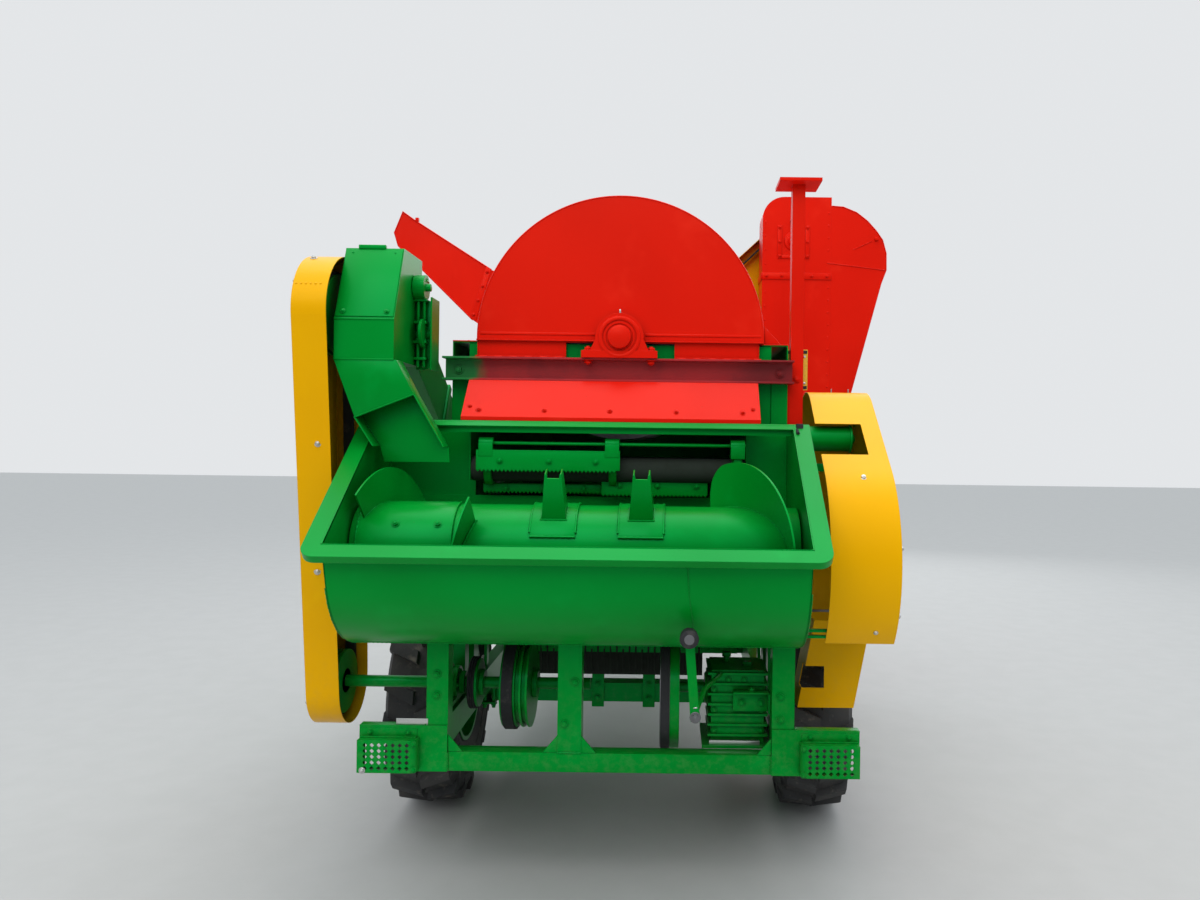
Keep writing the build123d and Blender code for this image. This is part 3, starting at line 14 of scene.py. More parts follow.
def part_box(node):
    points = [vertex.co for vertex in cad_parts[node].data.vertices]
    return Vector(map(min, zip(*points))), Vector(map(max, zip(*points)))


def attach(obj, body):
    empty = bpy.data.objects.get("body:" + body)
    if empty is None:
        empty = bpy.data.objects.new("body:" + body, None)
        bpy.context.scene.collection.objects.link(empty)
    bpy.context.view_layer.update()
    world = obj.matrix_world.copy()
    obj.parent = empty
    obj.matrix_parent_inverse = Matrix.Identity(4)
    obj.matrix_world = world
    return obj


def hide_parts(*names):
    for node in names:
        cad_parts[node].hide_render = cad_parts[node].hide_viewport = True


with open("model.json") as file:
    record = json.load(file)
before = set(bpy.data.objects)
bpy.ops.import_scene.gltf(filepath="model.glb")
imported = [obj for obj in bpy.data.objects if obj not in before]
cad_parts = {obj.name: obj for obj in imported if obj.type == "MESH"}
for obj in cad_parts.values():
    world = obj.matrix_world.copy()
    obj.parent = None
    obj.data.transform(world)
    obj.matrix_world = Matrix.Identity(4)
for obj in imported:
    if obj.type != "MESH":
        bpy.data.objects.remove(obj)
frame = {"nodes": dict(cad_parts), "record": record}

Flat = tuple[float, float]
Point = tuple[float, float, float]
Spot = tuple[Point, Point]
Thing = bpy.types.Object
Colour = tuple[float, float, float]

log = logging.getLogger("thresher")


def middle(node: str) -> Vector:
    """Centre of a CAD node's box."""
    low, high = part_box(node)
    return (Vector(low) + Vector(high)) / 2


CENTRE_X = (middle("tyre_left").x + middle("tyre_right").x) / 2
AXLE_Y = middle("tyre_left").y


def at(x: float, y: float, z: float) -> Vector:
    """Place given from the machine's centreline and axle, in the frame.

    Args:
        x: Metres to the right of the centreline.
        y: Metres ahead of the axle.
        z: Metres above the ground.

    Returns:
        The same place in the row frame.
    """
    return Vector((CENTRE_X + x, AXLE_Y + y, z))


# Shader maths
class Signal:
    """A socket's value in a material, with the operators that the finishes use."""

    def __init__(self, shop: "PaintShop", socket: bpy.types.NodeSocket) -> None:
        """Keeps the socket and the shop that adds nodes behind it."""
        self.shop = shop
        self.socket = socket

    def _math(self, operation: str, *terms: "Signal | float") -> "Signal":
        """Adds one Math node."""
        return self.shop.add("ShaderNodeMath", {"operation": operation}, dict(enumerate(terms)))[0]

    def __add__(self, other: "Signal | float") -> "Signal":
        """Sum."""
        return self._math("ADD", self, other)

    __radd__ = __add__

    def __mul__(self, other: "Signal | float") -> "Signal":
        """Product."""
        return self._math("MULTIPLY", self, other)

    __rmul__ = __mul__

    def __sub__(self, other: "Signal | float") -> "Signal":
        """Difference."""
        return self._math("SUBTRACT", self, other)

    def __rsub__(self, other: float) -> "Signal":
        """Difference from a number."""
        return self._math("SUBTRACT", other, self)

    def __truediv__(self, other: "Signal | float") -> "Signal":
        """Quotient."""
        return self._math("DIVIDE", self, other)

    def over(self, low: float, high: float) -> "Signal":
        """Smooth step from 0 at low to 1 at high."""
        return self.shop.add(
            "ShaderNodeMapRange", {"interpolation_type": "SMOOTHSTEP"},
            {"Value": self, "From Min": low, "From Max": high})[0]


class PaintShop:
    """Adds nodes to one material or world."""

    def __init__(self, owner: bpy.types.Material | bpy.types.World) -> None:
        """Empties the node tree of a material or world."""
        self.owner = owner
        owner.use_nodes = True
        self.tree = owner.node_tree
        self.tree.nodes.clear()

    @classmethod
    def named(cls, name: str) -> "PaintShop":
        """Starts a new material, read in its objects' own coordinates."""
        shop = cls(bpy.data.materials.new(name))
        shop.place = shop.add("ShaderNodeTexCoord", {}, {}, "Object")[0]
        return shop

    def add(self, kind: str, settings: dict, inputs: dict, *outputs: str) -> list[Signal]:
        """Adds one node.

        Args:
            kind: The node's type.
            settings: Properties to set before the sockets. "stops" fills a colour ramp.
            inputs: Values or signals by the sockets' names or numbers.
            outputs: Names of the wanted outputs, or none for the first.

        Returns:
            The outputs as signals.
        """
        node = self.tree.nodes.new(kind)
        for key, value in settings.items():
            if key == "stops":
                ramp = node.color_ramp
                while len(ramp.elements) < len(value):
                    ramp.elements.new(0.5)
                for element, (position, colour) in zip(ramp.elements, value):
                    element.position = position
                    element.color = (*colour, 1.0)
            else:
                setattr(node, key, value)
        for key, value in inputs.items():
            socket = node.inputs[key]
            if isinstance(value, Signal):
                self.tree.links.new(value.socket, socket)
            elif socket.type == "RGBA" and len(value) == 3:
                socket.default_value = (*value, 1.0)
            else:
                socket.default_value = value
        wanted = outputs or [out.name for out in node.outputs[:1]]
        return [Signal(self, node.outputs[name]) for name in wanted]

    def noise(self, scale: float, detail: float = 3.0, rough: float = 0.55, where: "Signal | None" = None) -> Signal:
        """Noise over the object's own coordinates, from about 0 to 1."""
        return self.add(
            "ShaderNodeTexNoise", {}, {"Vector": where or self.place, "Scale": scale, "Detail": detail,
                                       "Roughness": rough})[0]

    def stretched(self, x: float, y: float, z: float) -> Signal:
        """Object coordinates scaled along each axis."""
        return self.add("ShaderNodeMapping", {}, {"Vector": self.place, "Scale": (x, y, z)})[0]

    def mix(self, factor: "Signal | float", first: "Signal | Colour", second: "Signal | Colour") -> Signal:
        """Blend of two colours."""
        node = self.tree.nodes.new("ShaderNodeMix")
        node.data_type = "RGBA"
        for socket, value in ((node.inputs[0], factor), (node.inputs[6], first), (node.inputs[7], second)):
            if isinstance(value, Signal):
                self.tree.links.new(value.socket, socket)
            else:
                socket.default_value = value if isinstance(value, float) else (*value, 1.0)
        return Signal(self, node.outputs[2])

    def split(self, vector: Signal) -> list[Signal]:
        """X, Y and Z of a vector."""
        return self.add("ShaderNodeSeparateXYZ", {}, {0: vector}, "X", "Y", "Z")

    def bump(self, height: Signal, strength: float, distance: float) -> Signal:
        """Normal bent by a height, over edges that look rounded."""
        edge = self.add("ShaderNodeBevel", {"samples": 4}, {"Radius": 0.0025})[0]
        return self.add(
            "ShaderNodeBump", {},
            {"Height": height, "Strength": strength, "Distance": distance, "Normal": edge})[0]

    def corners(self, reach: float) -> Signal:
        """Ambient occlusion mask, from 0 in the open to 1 in corners closer than a reach, used to paint shade into
        corners.
        """
        open_air = self.add(
            "ShaderNodeAmbientOcclusion", {"samples": 4, "only_local": False}, {"Distance": reach}, "AO")[0]
        return 1.0 - open_air

    def surface(self, fixed: dict, varied: dict) -> bpy.types.Material:
        """Ends the material in one Principled shader.

        Args:
            fixed: Values set on the shader's own sockets.
            varied: Signals for the sockets that change over the surface.

        Returns:
            The finished material.
        """
        shader = self.add("ShaderNodeBsdfPrincipled", {}, {**fixed, **varied})[0]
        self.add("ShaderNodeOutputMaterial", {}, {"Surface": shader})
        return self.owner


# Finishes
@dataclass(frozen=True)
class Enamel:
    """Brush and spray gloss enamel on sheet steel: patchy coats, runs, painted shade in corners and recesses, dust low
    down and chips to the steel.
    """

    name: str
    colour: Colour
    thin: Colour
    deep: Colour
    sheen: Colour
    chip: Colour = (0.16, 0.10, 0.07)
    chips: float = 0.012
    gloss: float = 0.32
    dust: float = 0.12

    def make(self) -> bpy.types.Material:
        """Builds the material."""
        shop = PaintShop.named(self.name)
        broad = shop.noise(1.3, 2.0)
        patch = shop.noise(4.5, 3.0, 0.6)
        streak = shop.noise(3.0, 4.0, 0.6, shop.stretched(2.2, 2.2, 0.35))
        colour = shop.mix(broad.over(0.35, 0.72) * 0.55, self.colour, self.deep)
        colour = shop.mix(patch.over(0.56, 0.78) * 0.5, colour, self.thin)
        colour = shop.mix(streak.over(0.58, 0.8) * 0.22, colour, self.deep)
        # Painted shade: corners and recesses darkened towards a dark copy of the deep colour by an ambient occlusion
        # mask.
        shade = tuple(value * 0.3 for value in self.deep)
        colour = shop.mix(shop.corners(0.22).over(0.3, 0.95) * 0.7, colour, shade)
        height = shop.split(shop.place)[2]
        low = 1.0 - height.over(0.1, 1.1)
        powder = shop.noise(38.0, 5.0, 0.7).over(0.42, 0.72)
        dusty = low * powder * self.dust
        colour = shop.mix(dusty, colour, (0.30, 0.25, 0.18))
        speck = shop.noise(70.0, 4.0, 0.7)
        area = shop.noise(2.4, 2.0)
        chipped = speck.over(0.735 - self.chips, 0.76 - self.chips) * area.over(0.48, 0.6)
        colour = shop.mix(chipped, colour, self.chip)
        peel = shop.noise(160.0, 2.0, 0.5)
        dents = shop.noise(2.2, 2.0, 0.4)
        relief = peel * 0.25 + dents * 6.0 + streak * 0.5 - chipped * 0.8
        rough = patch * 0.12 + dusty * 0.5 + chipped * 0.3 + (self.gloss - 0.06)
        return shop.surface(
            {"Specular IOR Level": 0.42, "Specular Tint": (*self.sheen, 1.0), "Coat Roughness": 0.12},
            {"Base Color": colour, "Roughness": rough, "Coat Weight": 0.03 - dusty * 0.1 - chipped * 0.03,
             "Normal": shop.bump(relief, 0.35, 0.0012)})


@dataclass(frozen=True)
class TwoTone:
    """Dark enamel of the rear channel, red with a green end on the left, and darker towards the right end."""

    name: str
    colour: Colour
    end: Colour

    def make(self) -> bpy.types.Material:
        """Builds the material."""
        shop = PaintShop.named(self.name)
        across = shop.split(shop.place)[0] - CENTRE_X
        wander = shop.noise(9.0, 3.0) * 0.12
        green = 1.0 - (across + wander).over(-0.50, -0.44)
        patch = shop.noise(7.0, 4.0, 0.6)
        colour = shop.mix(patch.over(0.45, 0.7) * 0.55, self.colour, (0.24, 0.006, 0.012))
        # Darker towards the right end.
        colour = shop.mix((across + wander).over(0.38, 0.66) * 0.7, colour, (0.16, 0.004, 0.006))
        colour = shop.mix(green, colour, self.end)
        speck = shop.noise(60.0, 4.0, 0.7).over(0.66, 0.7)
        colour = shop.mix(speck * 0.5, colour, (0.10, 0.05, 0.04))
        return shop.surface(
            {"Specular IOR Level": 0.3, "Coat Roughness": 0.1},
            {"Base Color": colour, "Roughness": patch * 0.2 + 0.28, "Coat Weight": 0.15 - speck * 0.15,
             "Normal": shop.bump(patch * 4.0 + shop.noise(160.0), 0.35, 0.0012)})


@dataclass(frozen=True)
class Rubber:
    """Tyre rubber, worn grey on the lugs and dusty in the grooves."""

    name: str
    colour: Colour = (0.035, 0.036, 0.038)
    worn: Colour = (0.13, 0.12, 0.11)
    dust: Colour = (0.30, 0.26, 0.21)

    def make(self) -> bpy.types.Material:
        """Builds the material."""
        shop = PaintShop.named(self.name)
        broad = shop.noise(3.0, 3.0)
        fine = shop.noise(90.0, 5.0, 0.7)
        scuff = shop.noise(18.0, 4.0, 0.65)
        colour = shop.mix(broad.over(0.35, 0.7) * 0.5, self.colour, self.worn)
        colour = shop.mix(scuff.over(0.55, 0.75) * 0.45, colour, self.dust)
        colour = shop.mix(fine.over(0.6, 0.8) * 0.35, colour, self.dust)
        relief = fine * 0.6 + scuff * 1.2
        return shop.surface(
            {"Specular IOR Level": 0.35},
            {"Base Color": colour, "Roughness": scuff * 0.15 + 0.68, "Normal": shop.bump(relief, 0.5, 0.0015)})


@dataclass(frozen=True)
class Steel:
    """Bare, plated or oiled steel with brushing, dull spots and a little rust."""

    name: str
    colour: Colour
    stain: Colour
    rough: float = 0.38
    metal: float = 1.0
    rust: float = 0.25

    def make(self) -> bpy.types.Material:
        """Builds the material."""
        shop = PaintShop.named(self.name)
        spots = shop.noise(26.0, 4.0, 0.65)
        fine = shop.noise(220.0, 3.0, 0.6)
        stain = spots.over(0.52, 0.75) * self.rust
        colour = shop.mix(stain, self.colour, self.stain)
        colour = shop.mix(fine.over(0.4, 0.8) * 0.25, colour, self.stain)
        return shop.surface(
            {"Specular IOR Level": 0.5},
            {"Base Color": colour, "Roughness": stain * 0.4 + spots * 0.15 + (self.rough - 0.05),
             "Metallic": self.metal - stain * 0.8, "Normal": shop.bump(fine + spots * 2.0, 0.25, 0.0006)})


@dataclass(frozen=True)
class MarkerFilm:
    """Retroreflective film: small hexagonal cells with a soft sheen."""

    name: str
    colour: Colour
    border: Colour

    def make(self) -> bpy.types.Material:
        """Builds the material."""
        shop = PaintShop.named(self.name)
        cells = shop.add(
            "ShaderNodeTexVoronoi", {"feature": "DISTANCE_TO_EDGE"}, {"Vector": shop.place, "Scale": 260.0})[0]
        edge = 1.0 - cells.over(0.02, 0.10)
        grime = shop.noise(12.0, 4.0, 0.6)
        colour = shop.mix(edge * 0.6, self.colour, self.border)
        colour = shop.mix(grime.over(0.5, 0.8) * 0.3, colour, self.border)
        return shop.surface(
            {"Specular IOR Level": 0.6, "Coat Roughness": 0.08},
            {"Base Color": colour, "Roughness": edge * 0.2 + 0.28, "Coat Weight": 0.5 - grime * 0.2,
             "Normal": shop.bump(cells, 0.2, 0.0004)})


class Coat(Enum):
    """The finishes of this machine, each with the record's slot that it belongs to."""

    GREEN = "green_paint"
    RED = "red_paint"
    YELLOW = "yellow_paint"
    TYRE = "tyre_rubber"
    BELT = "belt_rubber"
    STEEL = "steel"
    FILM = "marker_film"
    ZINC = "zinc"
    BRIGHT = "bright"
    # Painted shade: near-black, faintly green finish for parts inside and under the machine, where shade falls; 'soot'
    # is the record's slot name.
    SOOT = "soot"
    CHANNEL = "channel"


FINISHES = {
    Coat.GREEN: Enamel("green_enamel", (0.0, 0.28, 0.024), (0.0, 0.34, 0.038), (0.0, 0.17, 0.006), (0.03, 1.0, 0.40)),
    Coat.RED: Enamel("red_enamel", (0.80, 0.010, 0.003), (0.90, 0.026, 0.010), (0.62, 0.005, 0.001), (1.0, 0.16, 0.08),
                     chip=(0.30, 0.05, 0.02), dust=0.1),
    Coat.YELLOW: Enamel("yellow_enamel", (0.90, 0.45, 0.0), (0.94, 0.53, 0.0), (0.80, 0.35, 0.0), (1.0, 0.72, 0.10),
                        chips=0.0),
    Coat.CHANNEL: TwoTone("channel_enamel", (0.46, 0.012, 0.016), (0.0, 0.20, 0.03)),
    Coat.TYRE: Rubber("tyre_rubber"),
    Coat.BELT: Rubber("belt_rubber", (0.014, 0.014, 0.016), (0.035, 0.035, 0.038), (0.10, 0.09, 0.08)),
    Coat.STEEL: Steel("oiled_steel", (0.20, 0.20, 0.21), (0.10, 0.07, 0.05), 0.42),
    Coat.FILM: MarkerFilm("marker_film", (0.90, 0.62, 0.02), (0.25, 0.16, 0.02)),
    Coat.ZINC: Steel("zinc_plate", (0.62, 0.62, 0.60), (0.40, 0.37, 0.32), 0.36),
    Coat.BRIGHT: Steel("bright_steel", (0.75, 0.75, 0.73), (0.45, 0.40, 0.33), 0.22, rust=0.12),
    # Painted shade: near-black, faintly green stand-in for the shade inside and under the machine.
    Coat.SOOT: Steel("painted_shade_interior", (0.012, 0.02, 0.012), (0.03, 0.025, 0.02), 0.85, metal=0.0),
}


class Paints:
    """Makes each finish once and hands it out."""

    def __init__(self) -> None:
        """Starts with no finish made."""
        self.made: dict[Coat, bpy.types.Material] = {}

    def get(self, coat: Coat) -> bpy.types.Material:
        """The material of a finish, made when it is first asked for."""
        if coat not in self.made:
            self.made[coat] = FINISHES[coat].make()
        return self.made[coat]

    def dress(self, thing: Thing, coat: Coat) -> None:
        """Puts one finish on every material slot of an object."""
        if not thing.material_slots:
            thing.data.materials.append(self.get(coat))
        for place in thing.material_slots:
            place.material = self.get(coat)


PAINTS = Paints()


# Modelling steps that the sub-assemblies share: each leaves one object whose place is in its mesh
def clear() -> None:
    """Leaves edit mode and selects nothing."""
    if bpy.context.mode != "OBJECT":
        bpy.ops.object.mode_set(mode="OBJECT")
    bpy.ops.object.select_all(action="DESELECT")


def pick(thing: Thing) -> None:
    """Selects one object and makes it active."""
    clear()
    thing.select_set(True)
    bpy.context.view_layer.objects.active = thing


def apply(thing: Thing, kind: str, **settings: object) -> None:
    """Adds one modifier with its settings and applies it.

    Args:
        thing: The object to change.
        kind: The modifier's type.
        settings: The modifier's properties.
    """
    pick(thing)
    step = thing.modifiers.new(kind.lower(), kind)
    for key, value in settings.items():
        setattr(step, key, value)
    bpy.ops.object.modifier_apply(modifier=step.name)


def settle(thing: Thing, name: str, soft: float = 0.0, segments: int = 2) -> Thing:
    """Puts the place into the mesh, rounds the edges and shades the object.

    Args:
        thing: The object to finish.
        name: Its piece name.
        soft: Width of the rounded edges in metres.
        segments: Steps across a rounded edge.

    Returns:
        The same object.
    """
    pick(thing)
    bpy.ops.object.transform_apply(location=True, rotation=True, scale=True)
    if soft > 0:
        apply(thing, "BEVEL", width=soft, segments=segments, limit_method="ANGLE",
              angle_limit=math.radians(38), use_clamp_overlap=True)
    pick(thing)
    bpy.ops.object.shade_smooth_by_angle(angle=math.radians(35))
    thing.name = name
    return thing


def slab(name: str, low: Point, high: Point, soft: float = 0.002) -> Thing:
    """Block between two corners given from the centreline and axle, with rounded edges."""
    a, b = at(*low), at(*high)
    clear()
    bpy.ops.mesh.primitive_cube_add(size=1.0, location=(a + b) / 2, scale=b - a)
    return settle(bpy.context.object, name, soft)


def rod(name: str, start: Point, end: Point, radius: float, sides: int = 24,
        soft: float = 0.0015) -> Thing:
    """Round bar between two places."""
    a, b = at(*start), at(*end)
    clear()
    bpy.ops.mesh.primitive_cylinder_add(
        vertices=sides, radius=radius, depth=(b - a).length, location=(a + b) / 2,
        rotation=(b - a).to_track_quat("Z", "Y").to_euler())
    return settle(bpy.context.object, name, soft)


def drawn(outline: Sequence[Point], thick: Point) -> Thing:
    """Flat face on an outline, pulled along a way, left in edit mode with the far face selected."""
    clear()
    bpy.ops.mesh.primitive_circle_add(vertices=len(outline), fill_type="NGON")
    thing = bpy.context.object
    for vertex, corner in zip(thing.data.vertices, outline):
        vertex.co = at(*corner)
    bpy.ops.object.mode_set(mode="EDIT")
    bpy.ops.mesh.select_all(action="SELECT")
    bpy.ops.mesh.extrude_region_move(TRANSFORM_OT_translate={"value": thick})
    return thing


def plate(name: str, outline: Sequence[Point], thick: Point, soft: float = 0.0015) -> Thing:
    """Flat plate cut to an outline.

    Args:
        name: Its piece name.
        outline: Corners in order, given from the centreline and axle.
        thick: The way and the distance that it is pulled.
        soft: Width of its rounded edges.

    Returns:
        The plate.
    """
    thing = drawn(outline, thick)
    bpy.ops.mesh.select_all(action="SELECT")
    bpy.ops.mesh.normals_make_consistent(inside=False)
    return settle(thing, name, soft)


def tray(name: str, outline: Sequence[Point], thick: Point, sheet: float) -> Thing:
    """Folded sheet: a flat face with a wall along its edge, open on the far side.

    Args:
        name: Its piece name.
        outline: Corners of the face in order, given from the centreline and axle.
        thick: The way and the depth of the wall.
        sheet: Thickness of the sheet, which grows inward.

    Returns:
        The tray.
    """
    thing = drawn(outline, thick)
    bpy.ops.mesh.delete(type="ONLY_FACE")
    bpy.ops.mesh.select_all(action="SELECT")
    bpy.ops.mesh.normals_make_consistent(inside=False)
    bpy.ops.object.mode_set(mode="OBJECT")
    apply(thing, "SOLIDIFY", thickness=sheet, offset=-1.0, use_even_offset=True)
    return settle(thing, name)


def ribbon(name: str, inner: Sequence[Point], outer: Sequence[Point], sheet: float) -> Thing:
    """Curved sheet between two lines of places.

    Args:
        name: Its piece name.
        inner: Places along one edge, given from the centreline and axle.
        outer: Places along the other edge.
        sheet: Thickness of the sheet.

    Returns:
        The sheet.
    """
    clear()
    last = len(inner) - 1
    bpy.ops.mesh.primitive_grid_add(x_subdivisions=last, y_subdivisions=1, size=1.0)
    thing = bpy.context.object
    for vertex in thing.data.vertices:
        line = outer if vertex.co.y > 0 else inner
        vertex.co = at(*line[round((vertex.co.x + 0.5) * last)])
    apply(thing, "SOLIDIFY", thickness=sheet, offset=0.0)
    return settle(thing, name)


def cut(thing: Thing, cutters: Sequence[Thing]) -> Thing:
    """Cuts closed objects out of another one, deletes them and shades the result."""
    for cutter in cutters:
        apply(thing, "BOOLEAN", object=cutter, operation="DIFFERENCE", solver="EXACT")
        bpy.data.objects.remove(cutter)
    pick(thing)
    bpy.ops.object.shade_smooth_by_angle(angle=math.radians(35))
    return thing


def turned(name: str, profile: Sequence[Flat], centre: Point, axis: str = "x",
           steps: int = 48, soft: float = 0.0) -> Thing:
    """Turned piece: a profile spun round an axis.

    Args:
        name: Its piece name.
        profile: Closed outline of (along, radius) pairs in metres.
        centre: A place on the axis, where along is 0.
        axis: "x", "y" or "z".
        steps: Faces round the piece.
        soft: Width of its rounded edges.

    Returns:
        The turned piece.
    """
    clear()
    bpy.ops.mesh.primitive_circle_add(vertices=len(profile), fill_type="NOTHING")
    thing = bpy.context.object
    for vertex, (along, radius) in zip(thing.data.vertices, profile):
        vertex.co = (along, 0.0, radius)
    bpy.ops.object.mode_set(mode="EDIT")
    bpy.ops.mesh.select_all(action="SELECT")
    bpy.ops.mesh.spin(steps=steps, angle=2 * math.pi, center=(0, 0, 0), axis=(1, 0, 0))
    bpy.ops.mesh.select_all(action="SELECT")
    bpy.ops.mesh.remove_doubles(threshold=0.0002)
    bpy.ops.mesh.normals_make_consistent(inside=False)
    bpy.ops.object.mode_set(mode="OBJECT")
    turn = {"x": Matrix.Identity(4), "y": Matrix.Rotation(math.pi / 2, 4, "Z"),
            "z": Matrix.Rotation(-math.pi / 2, 4, "Y")}[axis]
    thing.matrix_world = Matrix.Translation(at(*centre)) @ turn
    return settle(thing, name, soft)


def wire(name: str, path: Sequence[Point], radius: float, smooth: bool = True,
         ripple: float = 0.0) -> Thing:
    """Bent round bar along a path of places.

    Args:
        name: Its piece name.
        path: Places given from the centreline and axle.
        radius: Its radius in metres.
        smooth: Whether it bends smoothly through the places.
        ripple: Share of the radius that comes and goes along it, as on a weld bead.

    Returns:
        The bar.
    """
    clear()
    curve = bpy.data.curves.new(name, "CURVE")
    curve.dimensions = "3D"
    curve.bevel_depth = radius
    curve.bevel_resolution = 1 if ripple else 2
    curve.use_fill_caps = True
    spline = curve.splines.new("NURBS" if smooth else "POLY")
    spline.points.add(len(path) - 1)
    for point, place in zip(spline.points, path):
        point.co = (*at(*place), 1.0)
    for index, point in enumerate(spline.points):
        point.radius = 1.0 - ripple * (index % 2)
    if smooth:
        spline.order_u = 3
        spline.use_endpoint_u = True
    thing = bpy.data.objects.new(name, curve)
    bpy.context.collection.objects.link(thing)
    pick(thing)
    bpy.ops.object.convert(target="MESH")
    return settle(bpy.context.object, name)


def bead(name: str, path: Sequence[Point], radius: float = 0.0032, pitch: float = 0.007) -> Thing:
    """Weld bead along straight lines between places."""
    dense: list[Point] = []
    for start, end in zip(path[:-1], path[1:]):
        a, b = Vector(start), Vector(end)
        count = max(1, round((b - a).length / pitch))
        dense.extend(tuple(a.lerp(b, index / count)) for index in range(count))
    dense.append(tuple(path[-1]))
    return wire(name, dense, radius, False, 0.35)


def join(name: str, things: Sequence[Thing]) -> Thing:
    """Joins several objects into one piece."""
    clear()
    for thing in things:
        thing.select_set(True)
    bpy.context.view_layer.objects.active = things[0]
    if len(things) > 1:
        bpy.ops.object.join()
    whole = bpy.context.view_layer.objects.active
    whole.name = name
    return whole


def scatter(name: str, pattern: Thing, places: Sequence[Matrix]) -> Thing:
    """Copies a pattern object to places, joins the copies and deletes the pattern.

    Args:
        name: The piece name of the whole.
        pattern: An object made about the world origin.
        places: One matrix for each copy.

    Returns:
        All copies as one piece.
    """
    copies = []
    for place in places:
        twin = pattern.copy()
        twin.data = pattern.data.copy()
        bpy.context.collection.objects.link(twin)
        twin.matrix_world = place
        copies.append(twin)
    bpy.data.objects.remove(pattern)
    whole = join(name, copies)
    pick(whole)
    bpy.ops.object.transform_apply(location=True, rotation=True, scale=True)
    return whole


def fit(name: str, things: Sequence[Thing], coat: Coat = Coat.GREEN, body: str = "chassis") -> Thing:
    """Joins objects into one piece, dresses it and lets it ride on a body."""
    piece = join(name, things)
    PAINTS.dress(piece, coat)
    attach(piece, body)
    log.info("made %s", name)
    return piece


def stand(node: str, name: str, things: Sequence[Thing], coat: Coat = Coat.GREEN,
          body: str = "chassis") -> None:
    """Joins objects into a piece that stands for a CAD node and takes its finish."""
    piece = fit(name, things, coat, body)
    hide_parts(node)


@dataclass
class Fasteners:
    """Hexagon bolts with washers, and round rivets, set in groups."""

    head: float = 0.0095
    height: float = 0.0065
    washer: float = 0.0135

    def bolt(self, scale: float = 1.0) -> Thing:
        """One bolt about the origin, its head along +Z: washer, head and the end of its thread."""
        thick = 0.0022
        rounds = []
        for sides, radius, depth, middle_z in (
                (16, self.washer, thick, thick / 2), (6, self.head, self.height, thick + self.height / 2),
                (12, self.head * 0.52, 0.004, thick + self.height + 0.001)):
            clear()
            bpy.ops.mesh.primitive_cylinder_add(
                vertices=sides, radius=radius * scale, depth=depth * scale, location=(0, 0, middle_z * scale))
            rounds.append(bpy.context.object)
        return settle(join("bolt", rounds), "bolt", 0.0008 * scale, 1)

    def rivet(self, radius: float) -> Thing:
        """One domed rivet about the origin."""
        clear()
        bpy.ops.mesh.primitive_uv_sphere_add(segments=12, ring_count=8, radius=radius, scale=(1, 1, 0.5))
        return settle(bpy.context.object, "rivet")

    @staticmethod
    def facing(place: Point, way: Point, spin: float = 0.0) -> Matrix:
        """Matrix that sets a fastener on a place, with its head along a way."""
        turn = Vector(way).to_track_quat("Z", "Y").to_matrix().to_4x4()
        return Matrix.Translation(at(*place)) @ turn @ Matrix.Rotation(spin, 4, "Z")

    def row(self, name: str, spots: Sequence[Spot], coat: Coat = Coat.GREEN, body: str = "chassis",
            scale: float = 1.0, rivet: bool = False) -> Thing:
        """Sets a group of fasteners.

        Args:
            name: The group's piece name.
            spots: Place and way of each head.
            coat: Their finish.
            body: The body that they ride on.
            scale: Size against the usual bolt.
            rivet: Whether they are rivets.

        Returns:
            The group as one piece.
        """
        pattern = self.rivet(self.head * scale) if rivet else self.bolt(scale)
        places = [self.facing(place, way, 0.7 * index) for index, (place, way) in enumerate(spots)]
        return fit(name, [scatter(name, pattern, places)], coat, body)


BOLTS = Fasteners()

# Places that the forms and their trim share, from the centreline and axle
AUGER_AXIS: Flat = (-0.94, 1.19)  # Y and Z of the feed auger, which the hopper's trough is round
PADDLES: Flat = (-0.180, 0.100)  # X of the auger's paddles
CHAINS = (-0.456, -0.014, 0.426)  # X of the feeder's chains
DRUM_Z = 1.920  # Height of the drum's axis, which its cover is round
TOWER_REAR, TOWER_FRONT = 1.450, 1.650  # Y of the grain elevator's faces

LEFT, RIGHT = (-1.0, 0.0, 0.0), (1.0, 0.0, 0.0)
REAR, FRONT = (0.0, -1.0, 0.0), (0.0, 1.0, 0.0)
UP, DOWN = (0.0, 0.0, 1.0), (0.0, 0.0, -1.0)


def spaced(start: Point, end: Point, count: int) -> list[Point]:
    """Places spread evenly from a start to an end."""
    a, b = Vector(start), Vector(end)
    return [tuple(a.lerp(b, index / (count - 1))) for index in range(count)]


def around(centre: Flat, radius: float, angles: Iterable[float], fixed: float, axis: str = "x") -> list[Point]:
    """Places on a circle about an axis.

    Args:
        centre: The other two coordinates of the centre, in order.
        radius: Its radius.
        angles: One angle in degrees for each place.
        fixed: The coordinate along the axis.
        axis: "x" or "y".

    Returns:
        The places, given from the centreline and axle.
    """
    places = []
    for angle in angles:
        turn = math.radians(angle)
        u, v = centre[0] + radius * math.cos(turn), centre[1] + radius * math.sin(turn)
        places.append((fixed, u, v) if axis == "x" else (u, fixed, v))
    return places


def arc(centre: Flat, radius: float, first: float, last: float, count: int, fixed: float,
        axis: str = "x") -> list[Point]:
    """Places spread evenly on an arc from a first to a last angle in degrees."""
    return around(centre, radius, (first + (last - first) * index / (count - 1) for index in range(count)), fixed, axis)


def grid(xs: Sequence[float], ys: Sequence[float], zs: Sequence[float]) -> list[Point]:
    """Places at every combination of three rows of coordinates."""
    return [(x, y, z) for x in xs for y in ys for z in zs]


def heads(way: Point, places: Iterable[Point]) -> list[Spot]:
    """Fastener spots whose heads all point one way."""
    return [(place, way) for place in places]


def paired(reach: float, width: float) -> tuple[tuple[float, float], tuple[float, float]]:
    """Low and high X of a band that starts at a reach on either side of the centreline, the left one first."""
    return (-reach - width, -reach), (reach, reach + width)


